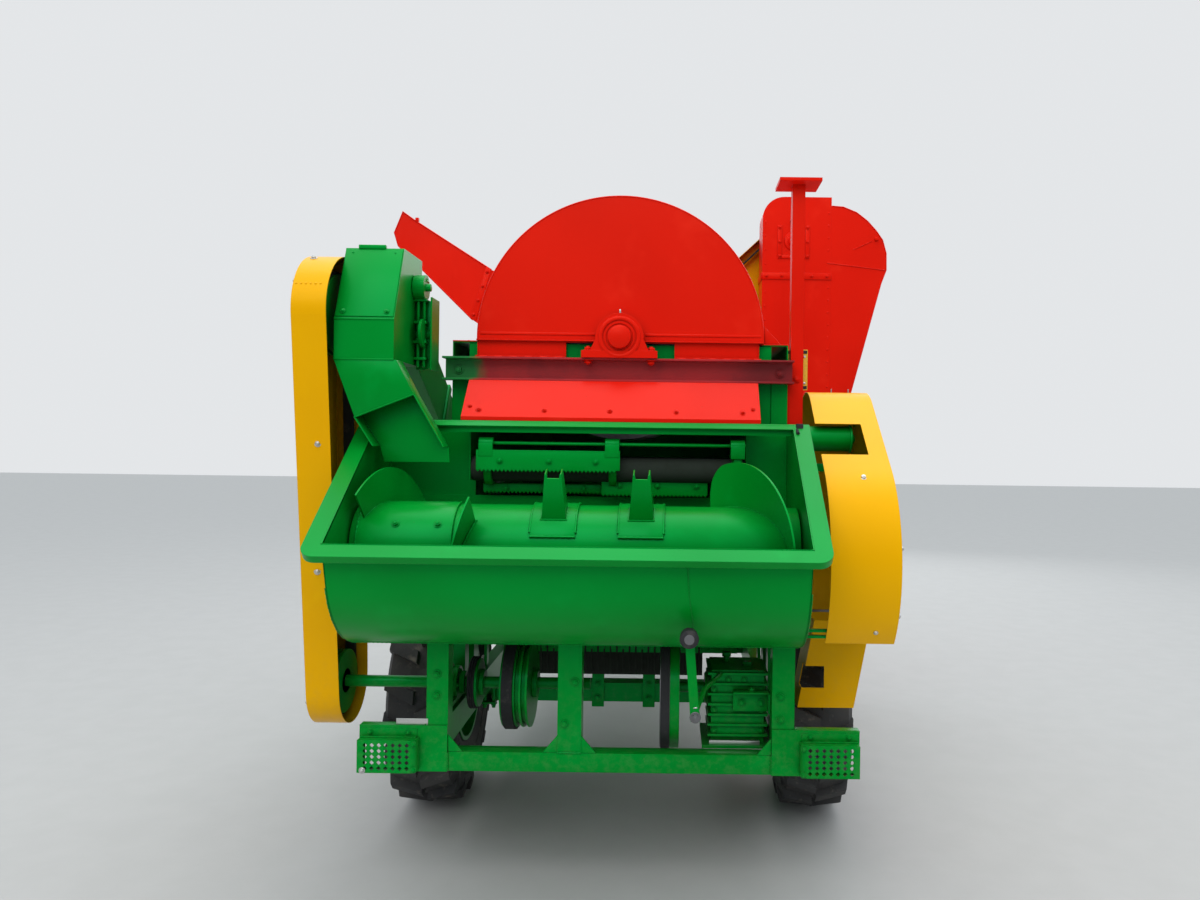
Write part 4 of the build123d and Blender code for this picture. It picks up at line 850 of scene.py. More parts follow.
@dataclass
class Studio:
    """Pale floor, soft lamps and the camera at the photograph's place."""

    eye: Point = (0.195, -3.92, 1.55)
    focal: float = 27.0
    shift: tuple[float, float] = (-0.06, -0.0083)
    roll: float = -0.013
    floor_half: float = 30.0

    def floor(self) -> None:
        """Lays the floor."""
        bpy.ops.mesh.primitive_plane_add(size=self.floor_half * 2, location=at(0, 0, 0))
        ground = bpy.context.object
        ground.name = "floor"
        shop = PaintShop.named("pale_floor")
        grain = shop.noise(6.0, 4.0, 0.6)
        colour = shop.mix(grain.over(0.3, 0.7) * 0.3, (0.44, 0.435, 0.42), (0.40, 0.395, 0.38))
        ground.data.materials.append(shop.surface(
            {"Specular IOR Level": 0.25}, {"Base Color": colour, "Roughness": grain * 0.1 + 0.75}))

    def lamp(self, name: str, place: Vector, aim: Vector, size: float, power: float, tint: Colour) -> None:
        """Adds one square area lamp.

        Args:
            name: The lamp's name.
            place: Where it hangs.
            aim: What it points at.
            size: Its side in metres.
            power: Its power in watts.
            tint: Its colour.
        """
        bpy.ops.object.light_add(type="AREA", location=place)
        lamp = bpy.context.object
        lamp.name = name
        lamp.data.shape, lamp.data.size = "SQUARE", size
        lamp.data.energy, lamp.data.color = power, tint
        lamp.rotation_euler = (aim - place).to_track_quat("-Z", "Y").to_euler()

    def lamps(self) -> None:
        """Hangs the lamps and sets the sky: light by height for the machine, one pale tone behind it."""
        for name, place, aim, size, power, tint in (
                ("key", (-1.5, -6.5, 6.5), (0, 0, 1.2), 5.0, 180.0, (1.0, 0.98, 0.95)),
                ("top", (0.5, 0.0, 8.0), (0, 0.3, 1.0), 6.0, 150.0, (1.0, 1.0, 1.0)),
                ("front", (2.5, 8.0, 4.5), (0, 0, 1.2), 5.0, 120.0, (0.96, 0.98, 1.0))):
            self.lamp(name, at(*place), at(*aim), size, power, tint)
        world = bpy.context.scene.world or bpy.data.worlds.new("sky")
        bpy.context.scene.world = world
        shop = PaintShop(world)
        height = shop.split(shop.add("ShaderNodeTexCoord", {}, {}, "Generated")[0])[2]
        strength = shop.add("ShaderNodeMapRange", {}, {"Value": height, "To Min": 0.22, "To Max": 1.75})[0]
        ambient = shop.add("ShaderNodeBackground", {}, {"Color": (0.88, 0.94, 1.0), "Strength": strength})[0]
        backdrop = shop.add("ShaderNodeBackground", {}, {"Color": (0.86, 0.88, 0.90), "Strength": 0.9})[0]
        seen = shop.add("ShaderNodeLightPath", {}, {}, "Is Camera Ray")[0]
        shown = shop.add("ShaderNodeMixShader", {}, {0: seen, 1: ambient, 2: backdrop})[0]
        shop.add("ShaderNodeOutputWorld", {}, {"Surface": shown})

    def camera(self) -> None:
        """Sets the camera level, looking ahead along the machine, with the photograph's off-centre frame."""
        bpy.ops.object.camera_add(location=at(*self.eye), rotation=(math.pi / 2, self.roll, 0.0))
        eye = bpy.context.object
        eye.name = "camera"
        eye.data.lens = self.focal
        eye.data.sensor_width = 36.0
        eye.data.shift_x, eye.data.shift_y = self.shift
        bpy.context.scene.camera = eye

    def build(self) -> None:
        """Builds the whole studio."""
        self.floor()
        self.lamps()
        self.camera()
        bpy.context.scene.view_settings.view_transform = "Standard"


@dataclass
class FrameFinish:
    """Puts a finish on every CAD node that stays in view."""

    special: dict[str, Coat] = field(
        default_factory=lambda: {"hitch_eye": Coat.STEEL, "cross_channel": Coat.CHANNEL})

    def dress(self) -> None:
        """Dresses each node by its record slot."""
        slots = {part["node"]: part["material_slot"] for part in frame["record"]["subparts"]}
        for name, node in frame["nodes"].items():
            PAINTS.dress(node, self.special.get(name, Coat(slots[name])))


# Forms that stand for CAD solids and show them in more detail
def hull(first: Flat, wide: float, second: Flat, narrow: float, fixed: float,
         count: int = 30) -> list[Point]:
    """Places round two circles and their outer tangents, in a plane across X.

    Args:
        first: Y and Z of the wider circle's centre.
        wide: Its radius.
        second: Y and Z of the other circle's centre.
        narrow: Its radius.
        fixed: The plane's X.
        count: Places on each circle.

    Returns:
        The places in order.
    """
    run = Vector(second) - Vector(first)
    turn = math.degrees(math.atan2(run.y, run.x))
    spread = math.degrees(math.acos((wide - narrow) / run.length))
    near = arc(first, wide, turn + spread, turn + 360 - spread, count, fixed)
    return near + arc(second, narrow, turn - spread, turn + spread, count, fixed)


@dataclass
class HopperForm:
    """Feed hopper: curved trough, end walls, and a tilted rim with rounded front corners and a turned-down skirt."""

    left: float = -0.832
    right: float = 0.618
    axis: Flat = AUGER_AXIS
    lip: Flat = (-1.32, 1.20)
    back: Flat = (-0.78, 1.61)
    flange: float = 0.055
    corner: float = 0.045
    sheet: float = 0.004

    def mouth(self, x: float, along: float, rise: float) -> Point:
        """Place over the mouth's plane, at a distance up its slope from the front lip."""
        way = (Vector(self.back) - Vector(self.lip)).normalized()
        return x, self.lip[0] + along * way.x - rise * way.y, self.lip[1] + along * way.y + rise * way.x

    def outline(self, x0: float, x1: float, near: float, far: float, corner: float, rise: float) -> list[Point]:
        """Outline parallel to the mouth, with rounded front corners."""
        places = [self.mouth(x0, far, rise)]
        for x, first in ((x0 + corner, 180), (x1 - corner, 270)):
            for index in range(10):
                turn = math.radians(first + 10 * index)
                places.append(self.mouth(x + corner * math.cos(turn), near + corner + corner * math.sin(turn), rise))
        return places + [self.mouth(x1, far, rise)]

    def rim(self) -> Thing:
        """Flat rim with its skirt, open over the trough."""
        length = (Vector(self.back) - Vector(self.lip)).length
        fall = Vector(self.mouth(0, 0, -0.026)) - Vector(self.mouth(0, 0, 0))
        whole = tray("rim", self.outline(self.left - self.flange, self.right + self.flange, 0.0, length,
                                         self.corner, 0.0), fall, 0.005)
        hole = self.outline(self.left + self.sheet, self.right - self.sheet, self.flange, length - 0.03, 0.006, 0.01)
        return cut(whole, [plate("hole", hole, fall, 0.0)])

    def trough(self) -> list[Thing]:
        """Curved sheet and the two end walls with their shaft holes."""
        front = self.mouth(0, self.flange, 0.0)[1:]
        lines = []
        for radius, grow in ((0.314, self.sheet), (0.310, 0.0)):
            reach = Vector(front) - Vector((grow, 0.0)) - Vector(self.axis)
            start = math.degrees(math.atan2(reach.y, reach.x) + math.acos(radius / reach.length))
            lines.append([(self.left, front[0] - grow, front[1])]
                         + arc(self.axis, radius, start, 360, 36, self.left)
                         + [(self.left, self.axis[0] + radius, 1.340)])
        outer, inner = lines
        width = self.right - self.left
        pieces = [plate("sheet", outer + inner[::-1], (width, 0, 0), 0.0)]
        wall = outer + [(self.left, -0.626, 1.570), (self.left, -0.780, 1.600), (self.left, -0.790, 1.602)]
        for x in (self.left, self.right - self.sheet):
            end = plate("wall", [(x, y, z) for _, y, z in wall], (self.sheet, 0, 0), 0.0)
            bore = rod("bore", (x - 0.01, *self.axis), (x + 0.02, *self.axis), 0.031, 32, 0.0)
            pieces.append(cut(end, [bore]))
        return pieces

    def build(self) -> None:
        """Builds the hopper."""
        pieces = [self.rim(), *self.trough()]
        for x0, x1, y, low, high in (
                (self.left, self.right, -0.786, 1.569, 1.606), (self.left, -0.520, -0.630, 1.340, 1.570),
                (0.460, self.right, -0.630, 1.340, 1.570)):
            pieces.append(slab("back", (x0, y, low), (x1, y + 0.004, high), 0.0))
        stand("hopper", "hopper.form", pieces)


@dataclass
class AugerForm:
    """Feed auger: tube on its shaft, a flight at each end, a half sleeve and two channel paddles on curved pads."""

    axis: Flat = AUGER_AXIS
    ends: Flat = (-0.823, 0.609)
    tube: float = 0.140
    tilt: float = 22.0
    top: float = 0.280

    def on(self, x: float, angle: float, radius: float) -> Point:
        """Place round the auger's axis."""
        return around(self.axis, radius, [angle], x)[0]

    def lean(self, x: float, deep: float, high: float) -> Point:
        """Place on a paddle, which leans back from upright."""
        turn = math.radians(self.tilt)
        return (x, self.axis[0] + deep * math.cos(turn) - high * math.sin(turn),
                self.axis[1] + deep * math.sin(turn) + high * math.cos(turn))

    def flight(self, start: float, reach: float, radius: float, first: float, sweep: float,
               eased: bool) -> Thing:
        """One flight, with its outer edge rounded off at both ends."""
        inner, outer = [], []
        count = 72
        for index in range(count + 1):
            part = index / count
            x = start + reach * (math.sin(part * math.pi / 2) if eased else part)
            close = min(1.0, min(part, 1 - part) / 0.12) if eased else 1.0
            edge = self.tube + (radius - self.tube) * (0.45 + 0.55 * math.sqrt(close * (2 - close)))
            inner.append(self.on(x, first + sweep * part, self.tube - 0.008))
            outer.append(self.on(x, first + sweep * part, edge))
        return ribbon("flight", inner, outer, 0.006)

    def paddle(self, x: float) -> list[Thing]:
        """One tapered channel paddle with a notched top, and the pad under it."""
        top = self.top
        web = [(x - 0.040, -0.062, 0.118), (x + 0.040, -0.062, 0.118), (x + 0.027, -0.034, top),
               (x + 0.021, -0.034, top), (x + 0.019, -0.0365, top - 0.014), (x - 0.019, -0.0365, top - 0.014),
               (x - 0.021, -0.034, top), (x - 0.027, -0.034, top)]
        shift = Vector(self.lean(0, 0.006, 0)) - Vector(self.lean(0, 0, 0))
        pieces = [plate("web", [self.lean(*place) for place in web], shift)]
        for side in (-1, 1):
            wall = [(x + side * 0.040, -0.061, 0.118), (x + side * 0.040, 0.010, 0.134), (x + side * 0.027, 0.010, top),
                    (x + side * 0.027, -0.033, top)]
            pieces.append(plate("wall", [self.lean(*place) for place in wall], (-side * 0.005, 0, 0)))
        pad = (arc(self.axis, 0.147, 78, 160, 20, x - 0.072) + arc(self.axis, 0.139, 160, 78, 20, x - 0.072))
        pieces.append(plate("pad", pad, (0.144, 0, 0)))
        return pieces

    def build(self) -> None:
        """Builds the auger."""
        x0, x1 = self.ends
        body = [(x0, 0.0005), (x0, self.tube), (x1, self.tube), (x1, 0.0005)]
        pieces = [
            turned("tube", body, (0.0, *self.axis), "x", 96, 0.003),
            rod("shaft", (-0.902, *self.axis), (0.800, *self.axis), 0.025),
            rod("sprocket", (0.760, *self.axis), (0.772, *self.axis), 0.062, 48),
            self.flight(-0.785, 0.352, 0.258, 137.0, -360.0, False),
            self.flight(0.330, 0.240, 0.288, 60.0, 125.0, True),
            plate("sleeve", arc(self.axis, 0.147, 90, 270, 40, -0.800)
                  + arc(self.axis, 0.139, 270, 90, 40, -0.800), (0.300, 0, 0)),
        ]
        for x in PADDLES:
            pieces.extend(self.paddle(x))
        stand("feed_auger", "auger.form", pieces, Coat.GREEN, "auger")


@dataclass
class FeederForm:
    """Slat feeder: two rollers, three chains with their links, and three angle slats with saw-toothed edges."""

    chains: tuple[float, ...] = CHAINS
    rollers: Flat = (-0.690, -0.500)
    roller_z: float = 1.440
    tooth: float = 0.014

    def slat(self, x0: float, x1: float, y: float, z: float, height: float) -> list[Thing]:
        """One angle slat."""
        count = int((x1 - x0) // self.tooth)
        edge = [(x0, y, z + self.tooth * 0.6)]
        for index in range(count):
            edge.append((x0 + (index + 0.5) * self.tooth, y, z))
            edge.append((x0 + (index + 1) * self.tooth, y, z + self.tooth * 0.6))
        edge += [(x1, y, z + self.tooth * 0.65), (x1, y, z + height), (x0, y, z + height)]
        flange = slab("flange", (x0, y, z + height - 0.005), (x1, y + 0.032, z + height))
        return [plate("slat", edge, (0, 0.005, 0), 0.0008), flange]

    def chain(self, x: float) -> list[Thing]:
        """One chain with the blocks that carry the slats."""
        near, far = x - 0.013, x + 0.013
        loop = hull((self.rollers[0], self.roller_z), 0.0581, (self.rollers[1], self.roller_z), 0.058, near)
        return [
            plate("loop", loop, (0.026, 0, 0)),
            slab("link", (x - 0.025, -0.7795, 1.485), (x + 0.025, -0.741, 1.532)),
            rod("pin", (x - 0.025, -0.757, 1.532), (x + 0.025, -0.757, 1.532), 0.020),
            slab("arm", (near, -0.773, 1.434), (far, self.rollers[0], 1.503)),
            slab("arm", (near, -0.699, 1.385), (far, self.rollers[0], self.roller_z)),
            slab("arm", (near, -0.671, 1.383), (far, -0.646, 1.400)),
        ]

    def build(self) -> None:
        """Builds the feeder."""
        rollers = [rod("roller", (-0.5167, y, self.roller_z), (0.4567, y, self.roller_z), 0.044, 40)
                   for y in self.rollers]
        # The rollers take the near-black painted shade finish.
        fit("feeder.rollers", rollers, Coat.SOOT)
        pieces = []
        for x in self.chains:
            pieces.extend(self.chain(x))
        pieces.append(rod("bar", (self.chains[0], -0.757, 1.532), (self.chains[2], -0.757, 1.532), 0.006, 12))
        for row in ((-0.489, 0.014, -0.778, 1.431, 0.077), (-0.055, 0.324, -0.700, 1.345, 0.075),
                    (-0.484, -0.047, -0.672, 1.350, 0.036)):
            pieces.extend(self.slat(*row))
        stand("feeder_slats", "feeder.form", pieces)


@dataclass
class GuardForm:
    """Right guard: band and outer plate, cut round the feeder's shaft and across its foot, over a narrow leg."""

    inner: float = 0.713
    outer: float = 0.943
    sheet: float = 0.003
    foot: float = 0.880

    def build(self) -> None:
        """Builds the guard and its stays."""
        band = hull((-0.62, 1.14), 0.400, (-0.42, 1.53), 0.212, self.outer, 48)
        shell = tray("shell", band, (self.inner - self.outer, 0, 0), self.sheet)
        cut(shell, [
            slab("foot", (0.700, -1.100, 0.700), (0.950, -0.100, self.foot), 0.0),
            slab("notch", (0.700, -0.900, 1.508), (0.878, -0.560, 1.616), 0.0)])
        outline = [(0.722, -0.640, 0.900), (0.929, -0.640, 0.900), (0.869, -0.640, 0.582), (0.664, -0.640, 0.582)]
        leg = tray("leg", outline, (0, 0.162, 0), self.sheet)
        cut(leg, [slab("notch", (0.650, -0.650, 0.654), (0.760, -0.580, 0.733), 0.0)])
        stand("right_guard", "right_guard.form", [shell, leg], Coat.YELLOW)
        stays = [slab("stay", (0.6183, -0.936, z), (0.941, -0.918, z + 0.010)) for z in (0.898, 0.918)]
        stays.append(slab("stay", (0.6203, -0.575, 1.440), (0.941, -0.545, 1.470)))
        fit("right_guard.stays", stays)


@dataclass
class LampForm:
    """Rear bar with a windowed plate beyond each end, and the diamond-holed guards over the tail lamps."""

    rear: float = -0.926
    depth: float = 0.042

    def guard(self, side: int) -> Thing:
        """One guard, rounded at its inner end."""
        low, high = 0.445, 0.552
        face = self.rear - self.depth

        def form(name: str, x0: float, x1: float, shift: float, z0: float, z1: float) -> Thing:
            """Upright block with one rounded corner."""
            corner = 0.022 - shift
            plan = [(x0, self.rear + shift)]
            for index in range(7):
                turn = math.radians(180 + 15 * index)
                plan.append((x0 + corner + corner * math.cos(turn), face + shift + corner + corner * math.sin(turn)))
            plan += [(x1, face + shift), (x1, self.rear + shift)]
            return plate(name, [(side * x, y, z0) for x, y in plan], (0, 0, z1 - z0), 0.0)

        shell = form("guard", 0.632, 0.826, 0.0, low, high)
        holes = []
        half = 0.0077
        for row in range(5):
            for column in range(7):
                x, z = side * (0.662 + column * 0.023), low + 0.015 + row * 0.019
                corners = [(x - half, face - 0.002, z), (x, face - 0.002, z - half), (x + half, face - 0.002, z),
                           (x, face - 0.002, z + half)]
                holes.append(plate("hole", corners, (0, 0.008, 0), 0.0))
        return cut(shell, [form("hollow", 0.635, 0.823, 0.003, low + 0.003, high - 0.003),
                           join("holes", holes)])

    def plate(self, side: int) -> Thing:
        """One lamp plate with its window, top lip and strip."""
        things = []
        for near, far, y0, y1, z0, z1, soft in (
                (0.540, 0.832, 0.0, 0.006, 0.437, 0.590, 0.0), (0.650, 0.814, -0.01, 0.02, 0.453, 0.544, 0.0),
                (0.640, 0.826, -0.003, 0.0, 0.552, 0.580, 0.0008), (0.618, 0.832, 0.006, 0.036, 0.586, 0.590, 0.001)):
            x0, x1 = sorted((side * near, side * far))
            things.append(slab("plate", (x0, self.rear + y0, z0), (x1, self.rear + y1, z1), soft))
        sheet, window, strip, lip = things
        return join("plate", [cut(sheet, [window]), strip, lip])

    def build(self) -> None:
        """Builds the bar, plates and guards."""
        guards = [self.guard(side) for side in (-1, 1)]
        stand("lamp_guards", "lamp_guards.form", guards)
        bar = [slab("bar", (-0.540, -0.920, 0.437), (0.540, -0.855, 0.502), 0.003)]
        bar.extend(self.plate(side) for side in (-1, 1))
        stand("rear_bar", "rear_bar.form", bar)


@dataclass
class CoverForm:
    """Round cover over the drum: full height at the rear, sloping down at the front, with foot flanges."""

    centre: float = DRUM_Z
    radius: float = 0.520
    rear: float = -0.5937
    bend: float = 1.330
    front: float = 1.660
    sill: float = 1.905

    def form(self, shrink: float) -> Thing:
        """Closed form of the cover, made smaller by a distance all round."""
        radius, y0, y1 = self.radius - shrink, self.rear + shrink, self.front - shrink
        foot = self.sill - (0.001 if shrink else 0.0)
        outline = [(radius, y0, foot)] + arc((0.0, self.centre), radius, 0, 180, 73, y0, "y") + [(-radius, y0, foot)]
        crown = self.centre + self.radius
        tip = self.front + 0.005
        fall = math.tan(math.radians(32)) * (tip - self.bend)
        drop = shrink * 1.2
        slope = [(self.bend, crown - drop), (tip, crown - fall - drop), (tip, crown + 0.01), (self.bend, crown + 0.01)]
        wedge = plate("wedge", [(-0.53, y, z) for y, z in slope], (1.06, 0, 0), 0.0)
        return cut(plate("cover", outline, (0, y1 - y0, 0), 0.0), [wedge])

    def build(self) -> None:
        """Builds the cover."""
        shell = cut(self.form(0.0), [
            self.form(0.003),
            slab("straw", (-0.525, 1.060, 1.940), (-0.460, 1.400, 2.120), 0.0),
            rod("bore", (0.0, self.rear - 0.01, self.centre), (0.0, self.front + 0.01, self.centre), 0.055, 40, 0.0),
            slab("slot", (-0.055, self.rear - 0.01, 1.900), (0.055, self.front + 0.01, self.centre), 0.0)])
        flanges = [slab("flange", (x, self.rear, self.sill), (x + 0.103, self.front, self.sill + 0.004), 0.001)
                   for x in (-0.620, 0.517)]
        stand("drum_cover", "cover.form", [shell, *flanges], Coat.RED)


@dataclass
class SpoutForm:
    """Curved hood and tapering spout on the outer side of the grain elevator, open at its foot."""

    wall: float = 1.130
    top: float = 3.010
    rear: float = TOWER_REAR
    line: tuple[Flat, ...] = (
        (0.0, 0.050), (0.070, 0.056), (0.150, 0.088), (0.215, 0.138), (0.268, 0.196), (0.306, 0.250), (0.328, 0.330),
        (0.330, 0.430), (0.300, 0.510))

    def build(self) -> None:
        """Builds the spout."""
        x, t = self.wall, 0.005
        outer = [(x + reach, self.rear, self.top - drop) for reach, drop in self.line]
        outer += [(x + 0.110, self.rear, 1.780), (x, self.rear, 1.780)]
        y = self.rear + 0.004
        inner = [(x - 0.001, y, self.top - self.line[0][1] - t)]
        inner += [(x + reach - t, y, self.top - drop - t) for reach, drop in self.line[1:-1]]
        inner += [(x + self.line[-1][0] - t, y, self.top - self.line[-1][1]), (x + 0.105, y, 1.779),
                  (x + t, y, 1.779), (x + t, y, self.top - 0.410), (x - 0.001, y, self.top - 0.410)]
        spout = cut(plate("spout", outer, (0, 0.200, 0), 0.0),
                    [plate("hollow", inner, (0, 0.192, 0), 0.0)])
        stand("grain_spout", "grain_spout.form", [spout], Coat.RED)


@dataclass
class ChuteForm:
    """Chute under the return head: a covered upper part, and below its slanted mouth a tray with side walls."""

    rear: float = -0.925
    front: float = -0.850
    left: tuple[Flat, ...] = ((-0.935, 1.8057), (-0.863, 1.613), (-0.800, 1.517))
    right: tuple[Flat, ...] = ((-0.727, 1.8057), (-0.667, 1.692), (-0.566, 1.517))
    foot: tuple[Flat, ...] = ((-0.784, 1.463), (-0.562, 1.464))

    def build(self) -> None:
        """Builds the chute."""
        cover = [self.left[0], self.right[0], self.right[1], self.left[1]]
        sheet = [*self.left, self.foot[0], self.foot[1], *self.right[::-1]]
        pieces = [
            plate("cover", [(x, self.rear, z) for x, z in cover], (0, 0.003, 0), 0.0008),
            plate("sheet", [(x, self.front - 0.003, z) for x, z in sheet], (0, 0.003, 0), 0.0008),
        ]
        for side, line in ((1, self.left), (-1, self.right)):
            ring = list(line) + [(x + side * 0.0035, z) for x, z in reversed(line)]
            pieces.append(plate("wall", [(x, self.rear + 0.0005, z) for x, z in ring],
                                (0, self.front - self.rear - 0.001, 0), 0.0005))
        stand("return_chute", "return_chute.form", pieces)



# Trim on the forms and the CAD nodes
def hoop(name: str, place: Point, radius: float, wire_radius: float, steps: tuple[int, int],
         turn: Point) -> Thing:
    """Ring of round wire about a place, with its faces round and across it."""
    clear()
    bpy.ops.mesh.primitive_torus_add(major_radius=radius, minor_radius=wire_radius, major_segments=steps[0],
                                     minor_segments=steps[1], location=at(*place), rotation=turn)
    return settle(bpy.context.object, name)


def slabs(soft: float, *boxes: tuple[float, ...]) -> list[Thing]:
    """Blocks with one edge rounding, each given as x0, x1, y0, y1, z0, z1."""
    return [slab("block", (x0, y0, z0), (x1, y1, z1), soft) for x0, x1, y0, y1, z0, z1 in boxes]


def beads(radius: float, *paths: Sequence[Point], pitch: float = 0.007) -> list[Thing]:
    """Weld beads of one size, each along its own path."""
    return [bead("weld", path, radius, pitch) for path in paths]


@dataclass
class Wheels:
    """Sidewall rings, nuts, valve stems and grease caps of both wheels."""

    track: float = 0.7875
    axle: float = 0.460
    rings: tuple[Flat, ...] = ((0.285, 0.1262), (0.345, 0.1305), (0.352, 0.1299), (0.380, 0.1278))
    cap: tuple[Flat, ...] = ((0.034, 0.0005), (0.034, 0.0465), (0.039, 0.041), (0.042, 0.02), (0.0425, 0.0005))

    def side(self, sign: int, body: str) -> None:
        """Fits out one wheel.

        Args:
            sign: 1 for the right wheel, -1 for the left.
            body: The body that it turns with.
        """
        centre = (sign * self.track, 0.0, self.axle)
        hoops = []
        for radius, wall in self.rings:
            for face in (-1, 1):
                ring = [(face * wall + 0.0026 * math.cos(a), radius + 0.0026 * math.sin(a))
                        for a in (0.0, 1.05, 2.09, 3.14, 4.19, 5.24)]
                hoops.append(turned("hoop", ring, centre, "x", 72))
        fit(f"{body}.sidewall_rings", hoops, Coat.TYRE, body)
        nuts = around((0.0, self.axle), 0.076, range(90, -270, -60), sign * 0.7855)
        BOLTS.row(f"{body}.nuts", heads((sign, 0.0, 0.0), nuts), Coat.ZINC, body, 1.65)
        cap = turned("cap", [(along * sign, radius) for along, radius in self.cap], centre, "x", 32)
        fit(f"{body}.grease_cap", [cap], Coat.ZINC, body)
        stem = rod("stem", (sign * 0.842, 0.02, self.axle + 0.1765), (sign * 0.872, 0.02, self.axle + 0.166), 0.004, 12)
        fit(f"{body}.valve", [stem], Coat.BRIGHT, body)

    def build(self) -> None:
        """Fits out both wheels."""
        self.side(1, "wheel_right")
        self.side(-1, "wheel_left")


@dataclass
class HopperTrim:
    """Weld seams, crease, bearing bolts and latch of the feed hopper."""

    axis: Flat = AUGER_AXIS
    skin: float = 0.314

    def belly(self, angle: float, x: float) -> Point:
        """Place on the outside of the trough at an angle in degrees, measured from ahead through up."""
        return around(self.axis, self.skin + 0.0005, [angle], x)[0]

    def build(self) -> None:
        """Builds the trim."""
        crease = [(0.245, -1.2808, 1.228), self.belly(197, 0.251)]
        crease.extend(self.belly(angle, 0.251 + (angle - 197) * 0.0007) for angle in range(205, 256, 7))
        seams = [wire("crease", crease, 0.0016, False), *beads(0.0026, [self.belly(254, x) for x in (-0.826, 0.612)])]
        edges = [around(self.axis, self.skin - 0.003, range(198, 352, 11), x) for x in (-0.834, 0.620)]
        seams += beads(0.003, *edges, pitch=0.009)
        seams += beads(0.0035, *([(x, -0.918, 0.878), (x, -0.858, 0.884)] for x in (-0.539, -0.176, -0.094, 0.539)))
        seams += beads(0.0035, *([(x0, -0.921, 0.8765), (x1, -0.921, 0.8765)]
                                 for x0, x1 in ((-0.612, -0.540), (-0.175, -0.095), (0.540, 0.615))))
        fit("hopper.weld_seams", seams)
        spots = []
        for x, way in ((-0.844, LEFT), (0.630, RIGHT)):
            spots += heads(way, around(self.axis, 0.057, (45, 135, 225, 315), x))
        BOLTS.row("hopper.bearing_bolts", spots, scale=0.85)
        latch = slab("latch", (0.626, -0.800, 1.566), (0.650, -0.770, 1.612), 0.003)
        fit("hopper.latch", [latch, rod("hook", (0.628, -0.800, 1.590), (0.628, -0.830, 1.578), 0.006, 12)], Coat.BELT)


@dataclass
class AugerTrim:
    """Weld beads, bolts and sprocket teeth of the feed auger, which turn with it."""

    axis: Flat = AUGER_AXIS
    tube: float = 0.140
    sleeve: float = 0.147
    paddles: Flat = PADDLES

    def on(self, x: float, angle: float, radius: float) -> Point:
        """Place round the auger's axis."""
        return around(self.axis, radius, [angle], x)[0]

    def flights(self) -> list[Thing]:
        """Beads along the roots of both flights."""
        roots = []
        for side in (-0.001, 0.007):
            roots.append([self.on(-0.785 + side + 0.352 * i / 48, 137 - 7.5 * i, self.tube + 0.001) for i in range(49)])
            roots.append([self.on(0.330 + side + 0.240 * math.sin(math.pi * i / 40), 60 + 6.25 * i, self.tube + 0.001)
                          for i in range(21)])
        return beads(0.0038, *roots, pitch=0.009)

    def pads(self) -> list[Thing]:
        """Beads round the pads and the feet of the paddles."""
        pads, feet = [], []
        for x in self.paddles:
            pads += [around(self.axis, self.sleeve - 0.002, range(78, 162, 7), x + side) for side in (-0.072, 0.072)]
            pads += [[self.on(x + side, angle, self.sleeve - 0.002) for side in (-0.072, 0.072)] for angle in (78, 160)]
            feet.append([self.on(x + dx, angle, self.sleeve + 0.001)
                         for dx, angle in ((-0.041, 112), (-0.041, 137), (0.041, 137), (0.041, 112))])
        return beads(0.005, *pads, pitch=0.010) + beads(0.0036, *feet, pitch=0.008)

    def build(self) -> None:
        """Builds the trim."""
        hoops = [around(self.axis, self.sleeve - 0.003, range(90, 271, 10), x) for x in (-0.800, -0.500)]
        ends = [[self.on(x, angle, self.sleeve - 0.003) for x in (-0.800, -0.500)] for angle in (90, 270)]
        welds = self.flights() + self.pads() + beads(0.0045, *hoops, pitch=0.010) + beads(0.004, *ends, pitch=0.010)
        fit("auger.weld_beads", welds, Coat.GREEN, "auger")
        spots = []
        for x in (-0.679, -0.545):
            for angle in (145.6, 214.4):
                turn = math.radians(angle)
                spots.append((self.on(x, angle, self.sleeve), (0.0, math.cos(turn), math.sin(turn))))
        BOLTS.row("auger.sleeve_bolts", spots, Coat.GREEN, "auger")
        teeth = []
        for index in range(16):
            root = [self.on(0.7625, 22.5 * index + shift, radius)
                    for shift, radius in ((-6, 0.060), (-2.2, 0.072), (2.2, 0.072), (6, 0.060))]
            teeth.append(plate("tooth", root, (0.007, 0, 0), 0.0))
        fit("auger.sprocket_teeth", teeth, Coat.STEEL, "auger")


@dataclass
class FeederTrim:
    """Bolts, chain plates and pins of the feeder slats."""

    chains: tuple[float, ...] = CHAINS
    side: tuple[Flat, ...] = ((-0.768, 1.455), (-0.755, 1.440), (-0.715, 1.440), (-0.700, 1.455), (-0.700, 1.480),
                              (-0.715, 1.496), (-0.755, 1.496), (-0.768, 1.480))

    def build(self) -> None:
        """Builds the trim."""
        places = [(x, y, z) for xs, y, z in (((-0.4055, -0.2344, -0.0703), -0.778, 1.470),
                                             ((0.010, 0.145, 0.285), -0.700, 1.385),
                                             ((-0.40, -0.27, -0.12), -0.672, 1.370)) for x in xs]
        BOLTS.row("feeder.slat_bolts", heads(REAR, places), scale=0.9)
        plates, pins = [], []
        for x in self.chains:
            for side, way in ((-1, LEFT), (1, RIGHT)):
                face = x + side * 0.013
                plates.append(plate("plate", [(face, y, z) for y, z in self.side], (side * 0.003, 0, 0), 0.001))
                pins += heads(way, [*grid((face + side * 0.003,), (-0.750, -0.716), (1.468,)),
                                    (x + side * 0.025, -0.757, 1.532)])
        fit("feeder.chain_plates", plates)
        BOLTS.row("feeder.chain_pins", pins, scale=0.8, rivet=True)
        lips = beads(0.003, *([(-0.518, -0.6265, z), (0.458, -0.6265, z)] for z in (1.3385, 1.5765)))
        fit("feeder.throat_seams", lips)


